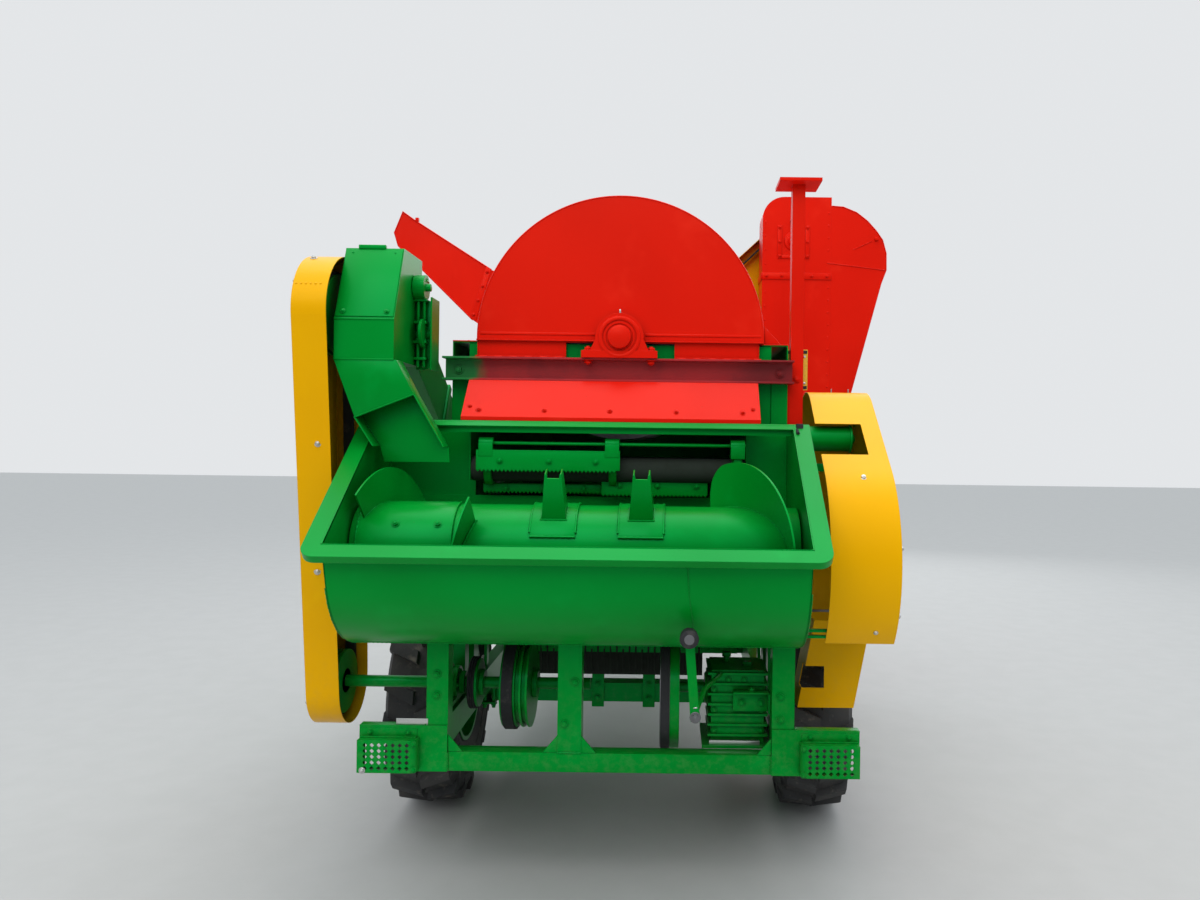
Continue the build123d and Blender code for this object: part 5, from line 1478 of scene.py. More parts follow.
@dataclass
class DrumEnd:
    """Rear end of the drum housing: bearing rings, folds, stitches and the bolts of the apron."""

    face: float = -0.600
    drum: float = DRUM_Z
    outer: tuple[Flat, ...] = ((0.0, 0.062), (0.004, 0.0625), (0.0055, 0.066), (0.0055, 0.072), (0.003, 0.0765),
                               (0.0, 0.077))
    inner: tuple[Flat, ...] = ((0.0, 0.049), (0.003, 0.0495), (0.003, 0.0565), (0.0, 0.057))
    cap: tuple[Flat, ...] = ((0.0, 0.0375), (0.019, 0.0375), (0.019, 0.0005), (0.0225, 0.0005), (0.0225, 0.034),
                             (0.019, 0.0415), (0.0, 0.044))

    def bearing(self, face: float, way: int, name: str) -> None:
        """Rings, cap, bolts and nipple of one pillow block.

        Args:
            face: Outer face of its housing.
            way: -1 at the rear, 1 at the front, which has no cap.
            name: Start of the pieces' names.
        """
        rows = [(self.outer, 48), (self.inner, 48)] + ([(self.cap, 40)] if way < 0 else [])
        rings = [turned("ring", [(way * along, radius) for along, radius in row], (0.0, face, self.drum), "y", steps)
                 for row, steps in rows]
        fit(f"{name}.rings", rings, Coat.RED)
        mid = face - way * 0.023
        spots = heads(UP, grid((-0.115, 0.115), (mid,), (1.871,)))
        spots += heads(DOWN, grid((-0.115, 0.115), (mid,), (1.838,)))
        BOLTS.row(f"{name}.bolts", spots, Coat.RED, scale=1.5)
        fit(f"{name}.nipple", [rod("nipple", (0.0, mid, self.drum + 0.086), (0.0, mid, self.drum + 0.104), 0.004, 10)],
            Coat.ZINC)

    def build(self) -> None:
        """Builds the trim."""
        self.bearing(-0.663, -1, "rear_bearing")
        self.bearing(1.706, 1, "front_bearing")
        edge = arc((0.0, self.drum), 0.5265, -0.6, 180.6, 90, self.face + 0.002, "y")
        folds = slabs(0.0028, *((x0, x1, self.face - 0.003, self.face + 0.001, 1.931, 1.941)
                                for x0, x1 in ((-0.518, -0.092), (0.092, 0.518))))
        fit("end_plate.folds", [wire("rolled", edge, 0.0038, False), *folds], Coat.RED)
        starts = [x0 + 0.055 * i for x0, count in ((-0.510, 6), (0.215, 6)) for i in range(count)]
        stitches = beads(0.0038, *([(x, -0.6405, 1.846), (x + 0.026, -0.6405, 1.846)] for x in starts))
        stitches += beads(0.003, *([(x, -0.6005, 1.855), (x, -0.6005, 1.905)] for x in (-0.525, 0.510)))
        fit("end_plate.stitches", stitches, Coat.RED)
        apron = grid((-0.487, -0.256, -0.025, 0.209, 0.443), (-0.7507,), (1.648,))
        apron += grid((-0.520, 0.480), (-0.738,), (1.660,))
        BOLTS.row("apron.bolts", heads((0.0, -0.749, 0.662), apron), Coat.RED, scale=0.8)
        BOLTS.row("channel.bolts", heads(REAR, grid((-0.595, 0.590), (-0.597,), (1.800,))), Coat.CHANNEL, scale=1.4)
        gusset = [(0.532, -0.585, 1.975), (0.532, -0.585, 1.910), (0.592, -0.585, 1.910)]
        fit("end_plate.gusset", [plate("gusset", gusset, (0, 0.006, 0))], Coat.RED)


@dataclass
class CoverTrim:
    """Straps, flange bolts, lifting eyes and hatch of the drum cover."""

    skin: float = 0.5202
    thick: float = 0.004
    centre: Flat = (0.0, DRUM_Z)
    straps: tuple[float, ...] = (-0.20, 0.42, 0.96)
    hatch: Flat = (-0.10, 0.44)

    def band(self, y: float, first: float, last: float, count: int, foot: bool) -> list[Point]:
        """Outline of a band on the cover between two angles, which may run down to the flanges."""
        outer, reach = self.skin + self.thick, [self.skin + self.thick, self.skin]
        feet = [[(side * r, y, 1.910)] if foot else [] for side, r in zip((1, -1, -1, 1), (outer, *reach, self.skin))]
        return (feet[0] + arc(self.centre, outer, first, last, count, y, "y") + feet[1] + feet[2]
                + arc(self.centre, self.skin, last, first, count, y, "y") + feet[3])

    def build(self) -> None:
        """Builds the trim."""
        bands, spots = [], []
        for y in self.straps:
            bands.append(plate("band", self.band(y, 0, 180, 41, True), (0, 0.045, 0), 0.001))
            for place in around(self.centre, self.skin + self.thick, (18, 60, 120, 162), y + 0.0225, "y"):
                spots.append((place, (place[0], 0.0, place[2] - self.centre[1])))
        fit("cover.straps", bands, Coat.RED)
        rows = (-0.50, -0.20, 0.10, 0.40, 0.70, 1.00, 1.30, 1.58)
        BOLTS.row("cover.bolts", spots + heads(UP, grid((-0.582, 0.582), rows, (1.909,))), Coat.RED, scale=0.9)
        eyes = []
        for y in (-0.1775, 0.9825):
            eyes += slabs(0.002, (-0.035, 0.035, y - 0.02, y + 0.02, 2.443, 2.449))
            eyes.append(hoop("eye", (0.0, y, 2.475), 0.028, 0.0065, (28, 10), (math.pi / 2, 0, 0)))
        fit("cover.lifting_eyes", eyes, Coat.RED)
        y, deep = self.hatch
        grip = [(0.30, y + 0.15, 2.348), (0.335, y + 0.15, 2.375), (0.335, y + 0.29, 2.375), (0.30, y + 0.29, 2.348)]
        lid = plate("lid", self.band(y, 66, 38, 8, False), (0, deep, 0), 0.0015)
        fit("cover.hatch", [lid, wire("grip", grip, 0.006)], Coat.RED)


@dataclass
class StrawTrim:
    """Rolled edges, lug and bolts of the straw chute."""

    rear: float = 1.060
    front: float = 1.400
    edge: tuple[Flat, ...] = ((-0.916, 2.200), (-1.333, 2.606), (-1.355, 2.678), (-1.310, 2.794), (-1.249, 2.750),
                              (-0.816, 2.478))
    joint: tuple[Flat, ...] = ((-0.90, 2.190), (-0.930, 2.216), (-0.845, 2.500), (-0.815, 2.482))

    def build(self) -> None:
        """Builds the trim."""
        edges, bands, spots = slabs(0.002, (-1.240, -1.222, 1.055, 1.075, 2.742, 2.762)), [], []
        for y, way in ((self.rear, REAR), (self.front, FRONT)):
            edges.append(wire("edge", [(x, y, z) for x, z in self.edge], 0.0042, False))
            bands.append(plate("band", [(x, y, z) for x, z in self.joint], (0, way[1] * 0.004, 0)))
            y += way[1] * 0.004
            spots += heads(way, spaced((-0.911, y, 2.230), (-0.838, y, 2.466), 4))
        fit("straw_chute.edges", edges, Coat.RED)
        fit("straw_chute.joint", bands, Coat.RED)
        BOLTS.row("straw_chute.bolts", spots, Coat.RED, scale=0.8)


@dataclass
class ReturnTrim:
    """Return elevator's head: panels, tension rods, chain cover; flanges down the leg and edges of the chute."""

    left: float = -0.935
    right: float = -0.735
    top: Flat = (-0.700, 1.960)
    boot: Flat = (1.560, 0.640)
    cover: tuple[Flat, ...] = ((-0.735, 1.792), (-0.706, 1.792), (-0.688, 1.797), (-0.674, 1.812), (-0.669, 1.832),
                               (-0.669, 2.012), (-0.674, 2.030), (-0.688, 2.043), (-0.706, 2.048), (-0.735, 2.048))

    def head(self) -> None:
        """Tab, panel and seam of the head."""
        slope, screw_x = (0.0, -0.926, 0.378), (-0.908, -0.762)
        lid = [(-0.932, -0.8225, 2.1925), (-0.738, -0.8225, 2.1925), (-0.738, -0.9225, 1.948), (-0.932, -0.9225, 1.948)]
        panels = [plate("lid", lid, (0.0, -0.0026, 0.0011), 0.001)]
        panels += slabs(0.0015, (-0.890, -0.797, -0.828, -0.812, 2.194, 2.208),
                        (-0.936, -0.734, -0.9275, -0.924, 1.9375, 1.9425),
                        (-0.936, -0.734, -0.9275, -0.924, 1.803, 1.809))
        fit("return_head.panels", panels)
        spots = heads(slope, grid(screw_x, (-0.920,), (1.966,)) + grid(screw_x, (-0.8245,), (2.178,)))
        spots += heads(LEFT, grid((self.left,), (-0.88, -0.64), (1.84, 1.92)))
        BOLTS.row("return_head.bolts", spots, scale=0.7)

    def drive(self) -> None:
        """Chain cover, tension rods and bearing beside the head."""
        rods = (-0.722, -0.700)
        things = [plate("cover", [(x, -0.664, z) for x, z in self.cover], (0, 0.004, 0), 0.001)]
        things += [rod("rod", (x, -0.688, z0), (x, -0.688, z1), 0.006, 12)
                   for x in rods for z0, z1 in ((1.80, 1.905), (1.935, 2.13))]
        things += slabs(0.0015, *((-0.736, -0.690, -0.700, -0.664, z, z + 0.010)
                                  for z in (1.825, 1.885, 1.955, 2.035, 2.105)))
        bearing = [(-0.03, 0.0005), (-0.03, 0.03), (-0.02, 0.044), (0.02, 0.044), (0.02, 0.0005)]
        sprocket = [(-0.005, 0.0005), (-0.005, 0.052), (0.005, 0.052), (0.005, 0.0005)]
        things += [turned("bearing", bearing, (-0.712, -0.690, 2.085), "x", 32),
                   turned("sprocket", sprocket, (-0.700, -0.700, 1.920), "x", 32),
                   rod("shaft", (-0.735, -0.690, 2.085), (-0.676, -0.690, 2.085), 0.014, 20)]
        fit("return_head.drive", things)
        nuts = heads(UP, grid(rods, (-0.688,), (1.895, 2.045, 2.115)))
        nuts += heads(REAR, grid((-0.712,), (-0.664,), (1.808, 2.068)))
        BOLTS.row("return_head.nuts", nuts, scale=0.85)

    def leg(self) -> None:
        """Flange collars and the boot's covers down the leg."""
        top, foot = Vector(self.top), Vector(self.boot)
        run = (foot - top).normalized()
        across = Vector((-run.y, run.x))

        def on(share: float, x: float, along: float, side: float) -> Point:
            """Place on the leg at a share of its length, moved along and across it."""
            place = top.lerp(foot, share) + run * along + across * side
            return x, place.x, place.y

        collars, spots = [], []
        for share in (0.22, 0.50, 0.78):
            ring = [on(share, self.left - 0.002, 0.018 * a, 0.106 * b) for a, b in ((-1, -1), (1, -1), (1, 1), (-1, 1))]
            collars.append(plate("collar", ring, (self.right - self.left + 0.004, 0, 0), 0.002))
            spots += heads(LEFT, [on(share, self.left - 0.002, 0, side) for side in (-0.08, 0.0, 0.08)])
        hatch = [on(0.64, self.left + 0.006, 0.12 * a, 0.065 * b) for a, b in ((-1, -1), (1, -1), (1, 1), (-1, 1))]
        collars.append(plate("hatch", hatch, (-0.004, 0, 0), 0.0015))
        flange = [(0.0, 0.0005), (0.0, 0.058), (0.008, 0.054), (0.010, 0.034), (0.022, 0.030), (0.022, 0.0005)]
        for x, way in ((-0.929, LEFT), (-0.741, RIGHT)):
            profile = [(way[0] * along, radius) for along, radius in flange]
            collars.append(turned("flange", profile, (x, *self.boot), "x", 32))
            spots += heads(way, around(self.boot, 0.046, (45, 135, 225, 315), x + way[0] * 0.008))
        fit("return_leg.collars", collars)
        BOLTS.row("return_leg.bolts", spots, scale=0.75)

    def build(self) -> None:
        """Builds the trim."""
        self.head()
        self.drive()
        self.leg()
        edges = [wire("edge", [(x0, y, z0), (x1, y, z1)], radius, False) for y, radius, x0, z0, x1, z1 in (
            (-0.9255, 0.0028, -0.864, 1.612, -0.666, 1.691), (-0.925, 0.0026, -0.863, 1.613, -0.800, 1.517),
            (-0.925, 0.0026, -0.667, 1.692, -0.566, 1.517))]
        fit("return_chute.edges", edges)


@dataclass
class TowerTrim:
    """Grain elevator: rivets, bearing slide, bands, hood seam, outlet hooks and boot door."""

    rear: float = TOWER_REAR
    front: float = TOWER_FRONT
    hub: tuple[Flat, ...] = ((0.0, 0.0005), (0.0, 0.058), (0.010, 0.054), (0.012, 0.036), (0.030, 0.032),
                             (0.030, 0.0005))
    hood: tuple[Flat, ...] = ((1.132, 2.958), (1.200, 2.953), (1.280, 2.921), (1.345, 2.871), (1.398, 2.813),
                              (1.436, 2.759), (1.458, 2.680), (1.459, 2.580), (1.429, 2.500), (1.240, 1.782))

    def slide(self) -> None:
        """Bearing slide with its slot, bearing and nut on the rear face of the head."""
        face = self.rear
        bars = slabs(0.0015, *((x0, x1, face - 0.006, face, 2.642, top) for x0, x1, top in (
            (0.8096, 0.835, 2.839), (0.975, 1.0006, 2.839), (0.830, 0.980, 2.664))),
                     (0.882, 0.928, face - 0.022, face, 2.862, 2.874))
        bars.append(turned("hub", [(-along, radius) for along, radius in self.hub], (0.905, face, 2.745), "y", 36))
        bars.append(rod("screw", (0.905, face - 0.012, 2.79), (0.905, face - 0.012, 2.90), 0.007, 12))
        fit("tower.slide_rear", bars, Coat.RED)
        corners = [place for z in (2.655, 2.826, 2.74) for place in grid((0.822, 0.988), (face - 0.006,), (z,))]
        nuts = grid((0.905,), (face - 0.012,), (2.852, 2.876))
        BOLTS.row("tower.slide_bolts_rear", heads(REAR, corners) + heads(UP, nuts), Coat.RED, scale=0.85)

    def bands(self) -> None:
        """Bands round the tower with their bolts."""
        rear, front = self.rear, self.front
        boxes = []
        for z in (2.517, 1.700, 0.980):
            boxes += [(0.716, 1.134, rear - 0.006, rear + 0.001, z, z + 0.040),
                      (0.716, 1.134, front - 0.001, front + 0.006, z, z + 0.040),
                      (0.714, 0.721, rear - 0.006, front + 0.006, z, z + 0.040)]
            if z < 1.75:
                boxes.append((1.129, 1.136, rear - 0.006, front + 0.006, z, z + 0.040))
        fit("tower.bands", slabs(0.002, *boxes), Coat.RED)
        spots = []
        for z in (2.537, 1.720, 1.000):
            for y, way in ((rear - 0.006, REAR), (front + 0.006, FRONT)):
                spots += heads(way, spaced((0.745, y, z), (1.105, y, z), 5))
        BOLTS.row("tower.band_bolts", spots, Coat.RED, scale=0.8)

    def outlet(self) -> None:
        """Seams and hems of the hood and spout, and the hooks for sacks."""
        y = self.rear - 0.001
        seam = [*beads(0.0035, [(1.108, y, 2.618), (1.452, y, 2.580)]),
                wire("crease", [(1.262, y, 2.700), (1.372, y, 2.752)], 0.0025, False),
                slab("lug", (1.388, self.rear - 0.014, 2.755), (1.408, self.rear + 0.004, 2.772))]
        seam += [wire("hem", [(x, side, z) for x, z in self.hood], 0.0035, False) for side in (self.rear, self.front)]
        fit("grain_spout.seams", seam, Coat.RED)
        hooks = [wire("hook", [(x, y, 1.83), (x, y + out * 0.02, 1.83), (x, y + out * 0.028, 1.845),
                               (x, y + out * 0.028, 1.865)], 0.004)
                 for y, out in ((1.447, -1), (1.653, 1)) for x in (1.135, 1.235)]
        fit("grain_spout.sack_hooks", hooks, Coat.ZINC)

    def build(self) -> None:
        """Builds the trim."""
        self.slide()
        rows = ((1.114, 2.915, 1.880, 15), (0.737, 2.860, 0.440, 30), (1.114, 1.70, 0.440, 17))
        places = []
        for x, top, low, count in rows:
            places += spaced((x, self.rear, top), (x, self.rear, low), count)
        rivets = heads(REAR, places) + heads(FRONT, [(x, self.front, z) for x, _, z in places])
        BOLTS.row("tower.rivets", rivets, Coat.RED, scale=0.62, rivet=True)
        self.bands()
        self.outlet()
        grip = [(0.870, 0.004), (0.875, 0.03), (0.975, 0.03), (0.980, 0.004)]
        door = [slab("door", (0.780, self.front, 0.470), (1.070, self.front + 0.005, 0.760)),
                wire("grip", [(x, self.front + out, 0.62) for x, out in grip], 0.006)]
        fit("tower.boot_door", door, Coat.RED)
        clips = grid((0.795, 1.055), (self.front + 0.005,), (0.485, 0.745))
        BOLTS.row("tower.door_bolts", heads(FRONT, clips), Coat.ZINC)


@dataclass
class GuardTrim:
    """Bolts, spot welds, stub shaft and swages of the yellow guards."""

    left: tuple[Flat, ...] = ((-0.725, 0.78), (-0.775, 0.80), (-0.845, 1.84), (-0.825, 1.90), (-0.745, 1.90),
                              (-0.725, 1.84), (-0.610, 0.80), (-0.640, 0.78))
    right: tuple[Flat, ...] = ((-0.90, 1.02), (-0.86, 1.28), (-0.56, 1.60), (-0.38, 1.62), (-0.32, 1.50), (-0.36, 1.10),
                               (-0.44, 0.98), (-0.80, 0.96))

    def build(self) -> None:
        """Builds the trim."""
        swages = [plate("swage", [(x, y, z) for y, z in outline], (out, 0, 0), 0.003)
                  for x, out, outline in ((-1.0565, -0.004, self.left), (0.9425, 0.004, self.right))]
        fit("guards.swages", swages, Coat.YELLOW)
        slots = slabs(0.006, *((-0.11, 0.11, 1.922, 1.936, 1.12 + 0.08 * row, 1.142 + 0.08 * row) for row in range(7)))
        fit("front_guard.louvres", slots, Coat.YELLOW)
        spots = [((-1.028, -0.865, 2.151), (0.0, -0.425, 0.905)), ((-0.984, -0.923, 1.523), REAR),
                 ((-1.001, -0.869, 1.089), REAR),
                 ((0.841, -0.890, 1.432), (0.0, -0.675, 0.7375)), ((0.874, -0.954, 0.927), (0.0, -0.835, -0.55))]
        for way, x, centre, radius, angles in (
                (LEFT, -1.057, (-0.78, 1.97), 0.182, (30, 90, 150, 210, 330)),
                (LEFT, -1.057, (-0.67, 0.667), 0.128, (200, 260, 320)),
                (RIGHT, 0.943, (-0.42, 1.53), 0.190, (10, 60, 110, 160, 200)),
                (RIGHT, 0.943, (-0.62, 1.14), 0.378, (170, 205, 340))):
            spots += heads(way, around(centre, radius, angles, x))
        for angle in (0, 60, 120, 180):
            for height, radius, turn in ((DRUM_Z, 0.28, angle), (0.88, 0.23, -angle)):
                spots += heads(FRONT, around((0.0, height), radius, [turn], 1.924, "y"))
        BOLTS.row("guards.bolts", spots, Coat.ZINC, scale=0.9)
        dots = spaced((-1.046, -0.9634, 2.050), (-0.966, -0.9634, 2.050), 6)
        BOLTS.row("left_guard.spot_welds", heads((0.0, -0.917, 0.4), dots), Coat.YELLOW, scale=0.45, rivet=True)
        stub = [rod("stub", (x0, -0.600, 1.562), (x1, -0.600, 1.562), radius, sides, soft)
                for x0, x1, radius, sides, soft in (
                    (0.6203, 0.846, 0.0465, 32, 0.002), (0.845, 0.853, 0.051, 32, 0.002),
                    (0.852, 0.866, 0.017, 6, 0.001))]
        fit("feeder.stub_shaft", stub)
        fit("right_guard.tab", slabs(0.001, (0.702, 0.7155, -0.700, -0.690, 1.425, 1.452)))


@dataclass
class LayTrim:
    """Small pulley's belt, hubs and collars of the rear lay shaft, and its bearing bolts."""

    axis: Flat = (-0.670, 0.667)
    collars: tuple[Point, ...] = ((-0.556, -0.536, 0.040), (-0.484, -0.468, 0.046), (-0.408, -0.3905, 0.05),
                                  (-0.294, -0.276, 0.05), (-0.186, -0.172, 0.034), (-0.980, -0.968, 0.045))
    rib: tuple[Flat, ...] = ((-0.516, 0.083), (-0.516, 0.0905), (-0.512, 0.0925), (-0.508, 0.0885), (-0.504, 0.0925),
                             (-0.500, 0.0885), (-0.496, 0.0925), (-0.492, 0.0905), (-0.492, 0.083))

    def collar(self, low: float, high: float, radius: float) -> Thing:
        """Ring round the shaft between two X values."""
        soft, bore = 0.002, 0.0206
        return turned("collar", [(low, bore), (low, radius - soft), (low + soft, radius), (high - soft, radius),
                                 (high, radius - soft), (high, bore)], (0.0, *self.axis), "x", 40)

    def build(self) -> None:
        """Builds the trim."""
        fit("lay_shaft.collars", [self.collar(*row) for row in self.collars], Coat.GREEN, "rear_shaft")
        fit("lay_shaft.ribbed_belt", [turned("belt", self.rib, (0.0, *self.axis), "x", 56)], Coat.BELT, "rear_shaft")
        bosses = [rod("boss", (-0.3915, y, z), (-0.3895, y, z), 0.022, 20, 0.0)
                  for _, y, z in around(self.axis, 0.095, range(0, 360, 72), 0.0)]
        # The bosses take the near-black painted shade finish.
        fit("lay_shaft.web_bosses", bosses, Coat.SOOT, "rear_shaft")
        spots, nipples = [], []
        for x0, x1 in ((-0.606, -0.560), (-0.165, -0.119)):
            for x, way in ((x0, LEFT), (x1, RIGHT)):
                spots += heads(way, around(self.axis, 0.042, (180, 0, 90), x))
            mid = (x0 + x1) / 2
            nipples.append(rod("nipple", (mid, -0.670, 0.724), (mid, -0.690, 0.740), 0.004, 10))
        BOLTS.row("lay_shaft.bearing_bolts", spots, scale=0.75)
        fit("lay_shaft.nipples", nipples, Coat.ZINC)


@dataclass
class GearboxTrim:
    """Cover bolts, plug, bracket and blank plate of the gearbox, and the belt on its pulley."""

    rear: float = -0.830
    axis: Flat = (-0.700, 0.668)
    flange: tuple[Flat, ...] = ((-0.020, 0.0005), (-0.020, 0.050), (-0.012, 0.058), (0.0, 0.058), (0.0, 0.0005))
    cap: tuple[Flat, ...] = ((0.0, 0.0005), (0.0, 0.05), (0.010, 0.046), (0.012, 0.0005))
    belt: tuple[Flat, ...] = ((0.168, 0.2045), (0.168, 0.2095), (0.172, 0.2115), (0.194, 0.2115), (0.198, 0.2095),
                              (0.198, 0.2045))
    rim: tuple[Flat, ...] = ((0.199, 0.2045), (0.199, 0.2065), (0.2305, 0.2065), (0.2315, 0.200), (0.2315, 0.185),
                             (0.2305, 0.185), (0.2305, 0.2045))

    def build(self) -> None:
        """Builds the trim."""
        rear = self.rear
        cover = grid((0.352, 0.514), (rear + 0.012,), (0.553, 0.623, 0.693))
        cover += grid((0.40, 0.455), (rear + 0.012,), (0.728,))
        BOLTS.row("gearbox.cover_bolts", heads(REAR, cover), scale=0.9)
        bracket = slabs(0.0015, *((x0, 0.540, rear - out, rear, low, 0.697) for x0, out, low in (
            (0.415, 0.006, 0.624), (0.415, 0.040, 0.691), (0.534, 0.040, 0.624))))
        fit("gearbox.bracket", bracket)
        lugs = heads(REAR, grid((0.445, 0.510), (rear - 0.006,), (0.655,))) + [((0.478, rear - 0.020, 0.697), UP)]
        BOLTS.row("gearbox.bracket_bolts", lugs, scale=1.1)
        fit("gearbox.base_strip", slabs(0.001, (0.335, 0.508, -0.846, -0.832, 0.512, 0.526)), Coat.ZINC)
        fittings = [turned("seat", self.flange, (0.342, *self.axis), "x", 36),
                    turned("cap", self.cap, (0.524, -0.725, 0.640), "x", 36)]
        fittings += [rod("plug", (x, y, low), (x, y, high), radius, sides) for x, y, low, high, radius, sides in (
            (0.40, -0.70, 0.758, 0.780, 0.009, 12), (0.40, -0.70, 0.779, 0.796, 0.016, 16),
            (0.47, -0.74, 0.758, 0.772, 0.017, 6))]
        fit("gearbox.fittings", fittings)
        for name, profile, coat in (("flat_belt", self.belt, Coat.BELT), ("pulley_rim", self.rim, Coat.GREEN)):
            fit(f"gearbox.{name}", [turned(name, profile, (0.0, *self.axis), "x", 72)], coat, "gear_input")


@dataclass
class CrankTrim:
    """Rubber grip, nut and pivot of the hand crank."""

    knob: Point = (0.254, -1.196, 0.960)
    grip: tuple[Flat, ...] = ((-0.066, 0.012), (-0.066, 0.022), (-0.063, 0.0275), (-0.056, 0.029), (-0.018, 0.027),
                              (-0.014, 0.018), (-0.014, 0.012))
    washer: tuple[Flat, ...] = ((-0.0665, 0.0005), (-0.0665, 0.015), (-0.0645, 0.016), (-0.060, 0.0165),
                                (-0.060, 0.0005))

    def build(self) -> None:
        """Builds the trim."""
        fit("crank.grip", [turned("grip", self.grip, self.knob, "y", 36)], Coat.BELT)
        fit("crank.washer", [turned("washer", self.washer, self.knob, "y", 24)], Coat.STEEL)
        BOLTS.row("crank.bolts", [((0.276, -1.206, 0.714), REAR)], Coat.STEEL, scale=1.3)
        pin = wire("pin", [(0.268, -1.199, 0.740), (0.275, -1.215, 0.746), (0.285, -1.199, 0.742)], 0.0025)
        fit("crank.pin", [pin], Coat.BRIGHT)


@dataclass
class LampTrim:
    """Folded strips, bolts and welds of the lamp guards."""

    def build(self) -> None:
        """Builds the trim."""
        strips = slabs(0.001, *((x0, x1, -0.940, -0.926, 0.552, 0.5555) for x0, x1 in paired(0.640, 0.186)))
        strips += beads(0.0035, *([(x, -0.9225, 0.452), (x, -0.9225, 0.580)] for x in (-0.617, 0.617)))
        fit("lamp_guards.strips", strips)
        places = [(side * x, y, z) for side in (-1, 1) for x, y, z in (
            (0.668, -0.929, 0.568), (0.795, -0.929, 0.568), (0.640, -0.968, 0.456), (0.640, -0.968, 0.541))]
        BOLTS.row("lamp_guards.bolts", heads(REAR, places), scale=0.75)
        BOLTS.row("lamp_guards.nut", [((-0.808, -0.968, 0.453), REAR)], Coat.ZINC, scale=0.8)


@dataclass
class FrameTrim:
    """Weld beads, gussets, clamps and bolts of the chassis, drawbar and jack."""

    bar: float = -0.9215
    grip: tuple[Flat, ...] = ((0.0, 0.010), (0.0, 0.017), (0.006, 0.020), (0.070, 0.0185), (0.084, 0.0205),
                              (0.089, 0.016), (0.089, 0.010))

    def rear(self) -> None:
        """Joints, bolts and strip on the rear bar and posts."""
        welds = beads(0.0036, *([(x, self.bar, 0.440), (x, self.bar, 0.500)] for x in (-0.5385, 0.5385)),
                      *([(x, -0.920, 0.5035), (x, -0.857, 0.5035)] for x in (-0.1765, -0.0935)),
                      [(-0.175, self.bar, 0.5035), (-0.095, self.bar, 0.5035)])
        welds += beads(0.003, *([(x, self.bar, 0.5915), (x + out, self.bar, 0.5915)]
                                for x, out in ((-0.612, -0.004), (0.615, 0.004))))
        fit("rear_frame.welds", welds)
        bolts = [(x, -0.920, z) for x, z in ((0.568, 0.700), (0.568, 0.623), (-0.578, 0.760), (-0.578, 0.690),
                                             (-0.118, 0.740), (-0.152, 0.600))]
        BOLTS.row("rear_frame.bolts", heads(REAR, bolts), scale=1.15)
        fit("rear_frame.strip", slabs(0.0005, (-0.712, -0.606, -0.921, -0.9195, 0.590, 0.611)), Coat.ZINC)
        lugs = [plate("gusset", [(x, -0.9195, 0.502), (x, -0.9195, 0.560), (x + dx, -0.9195, 0.502)], (0, 0.006, 0))
                for x, dx in ((-0.095, 0.05), (-0.175, -0.05), (-0.540, 0.05), (0.540, -0.05))]
        fit("rear_frame.gussets", lugs)

    def axle(self) -> None:
        """Clamp plates and U-bolts that hold the axle to the rails."""
        plates = slabs(0.002, *((x0, x1, -0.075, 0.075, 0.412, 0.420) for x0, x1 in paired(0.545, 0.060)),
                       *((x0, x1, -0.052, -0.040, 0.400, 0.590) for x0, x1 in paired(0.083, 0.052)))
        spots = []
        for side in (-1, 1):
            for y in (-0.055, 0.055):
                for x in (side * 0.556, side * 0.594):
                    plates.append(rod("stud", (x, y, 0.392), (x, y, 0.506), 0.008, 12))
                    spots.append(((x, y, 0.412), DOWN))
        spots += heads(REAR, grid((0.109, -0.109), (-0.052,), (0.44, 0.50, 0.56)))
        fit("axle.clamps", plates)
        BOLTS.row("axle.nuts", spots, scale=1.2)

    def drawbar(self) -> None:
        """Bolts of the front plate and eye, and the jack's grip."""
        places = grid((-0.50, -0.38, 0.38, 0.50), (1.972,), (0.520, 0.580))
        places += grid((-0.031, 0.031), (3.188,), (0.530, 0.590))
        BOLTS.row("drawbar.bolts", heads(FRONT, places), Coat.ZINC, scale=1.3)
        fit("jack.grip", [turned("grip", self.grip, (0.150, 2.480, 0.792), "z", 28)], Coat.BELT)
        welds = beads(0.004, *(line for side in (-1, 1) for line in (
            [(side * 0.450, 1.973, 0.6005), (side * 0.540, 1.973, 0.6005)],
            [(side * 0.038, 2.443, 0.53), (side * 0.038, 2.443, 0.59)])))
        fit("drawbar.welds", welds)

    def build(self) -> None:
        """Builds the trim."""
        self.rear()
        self.axle()
        self.drawbar()


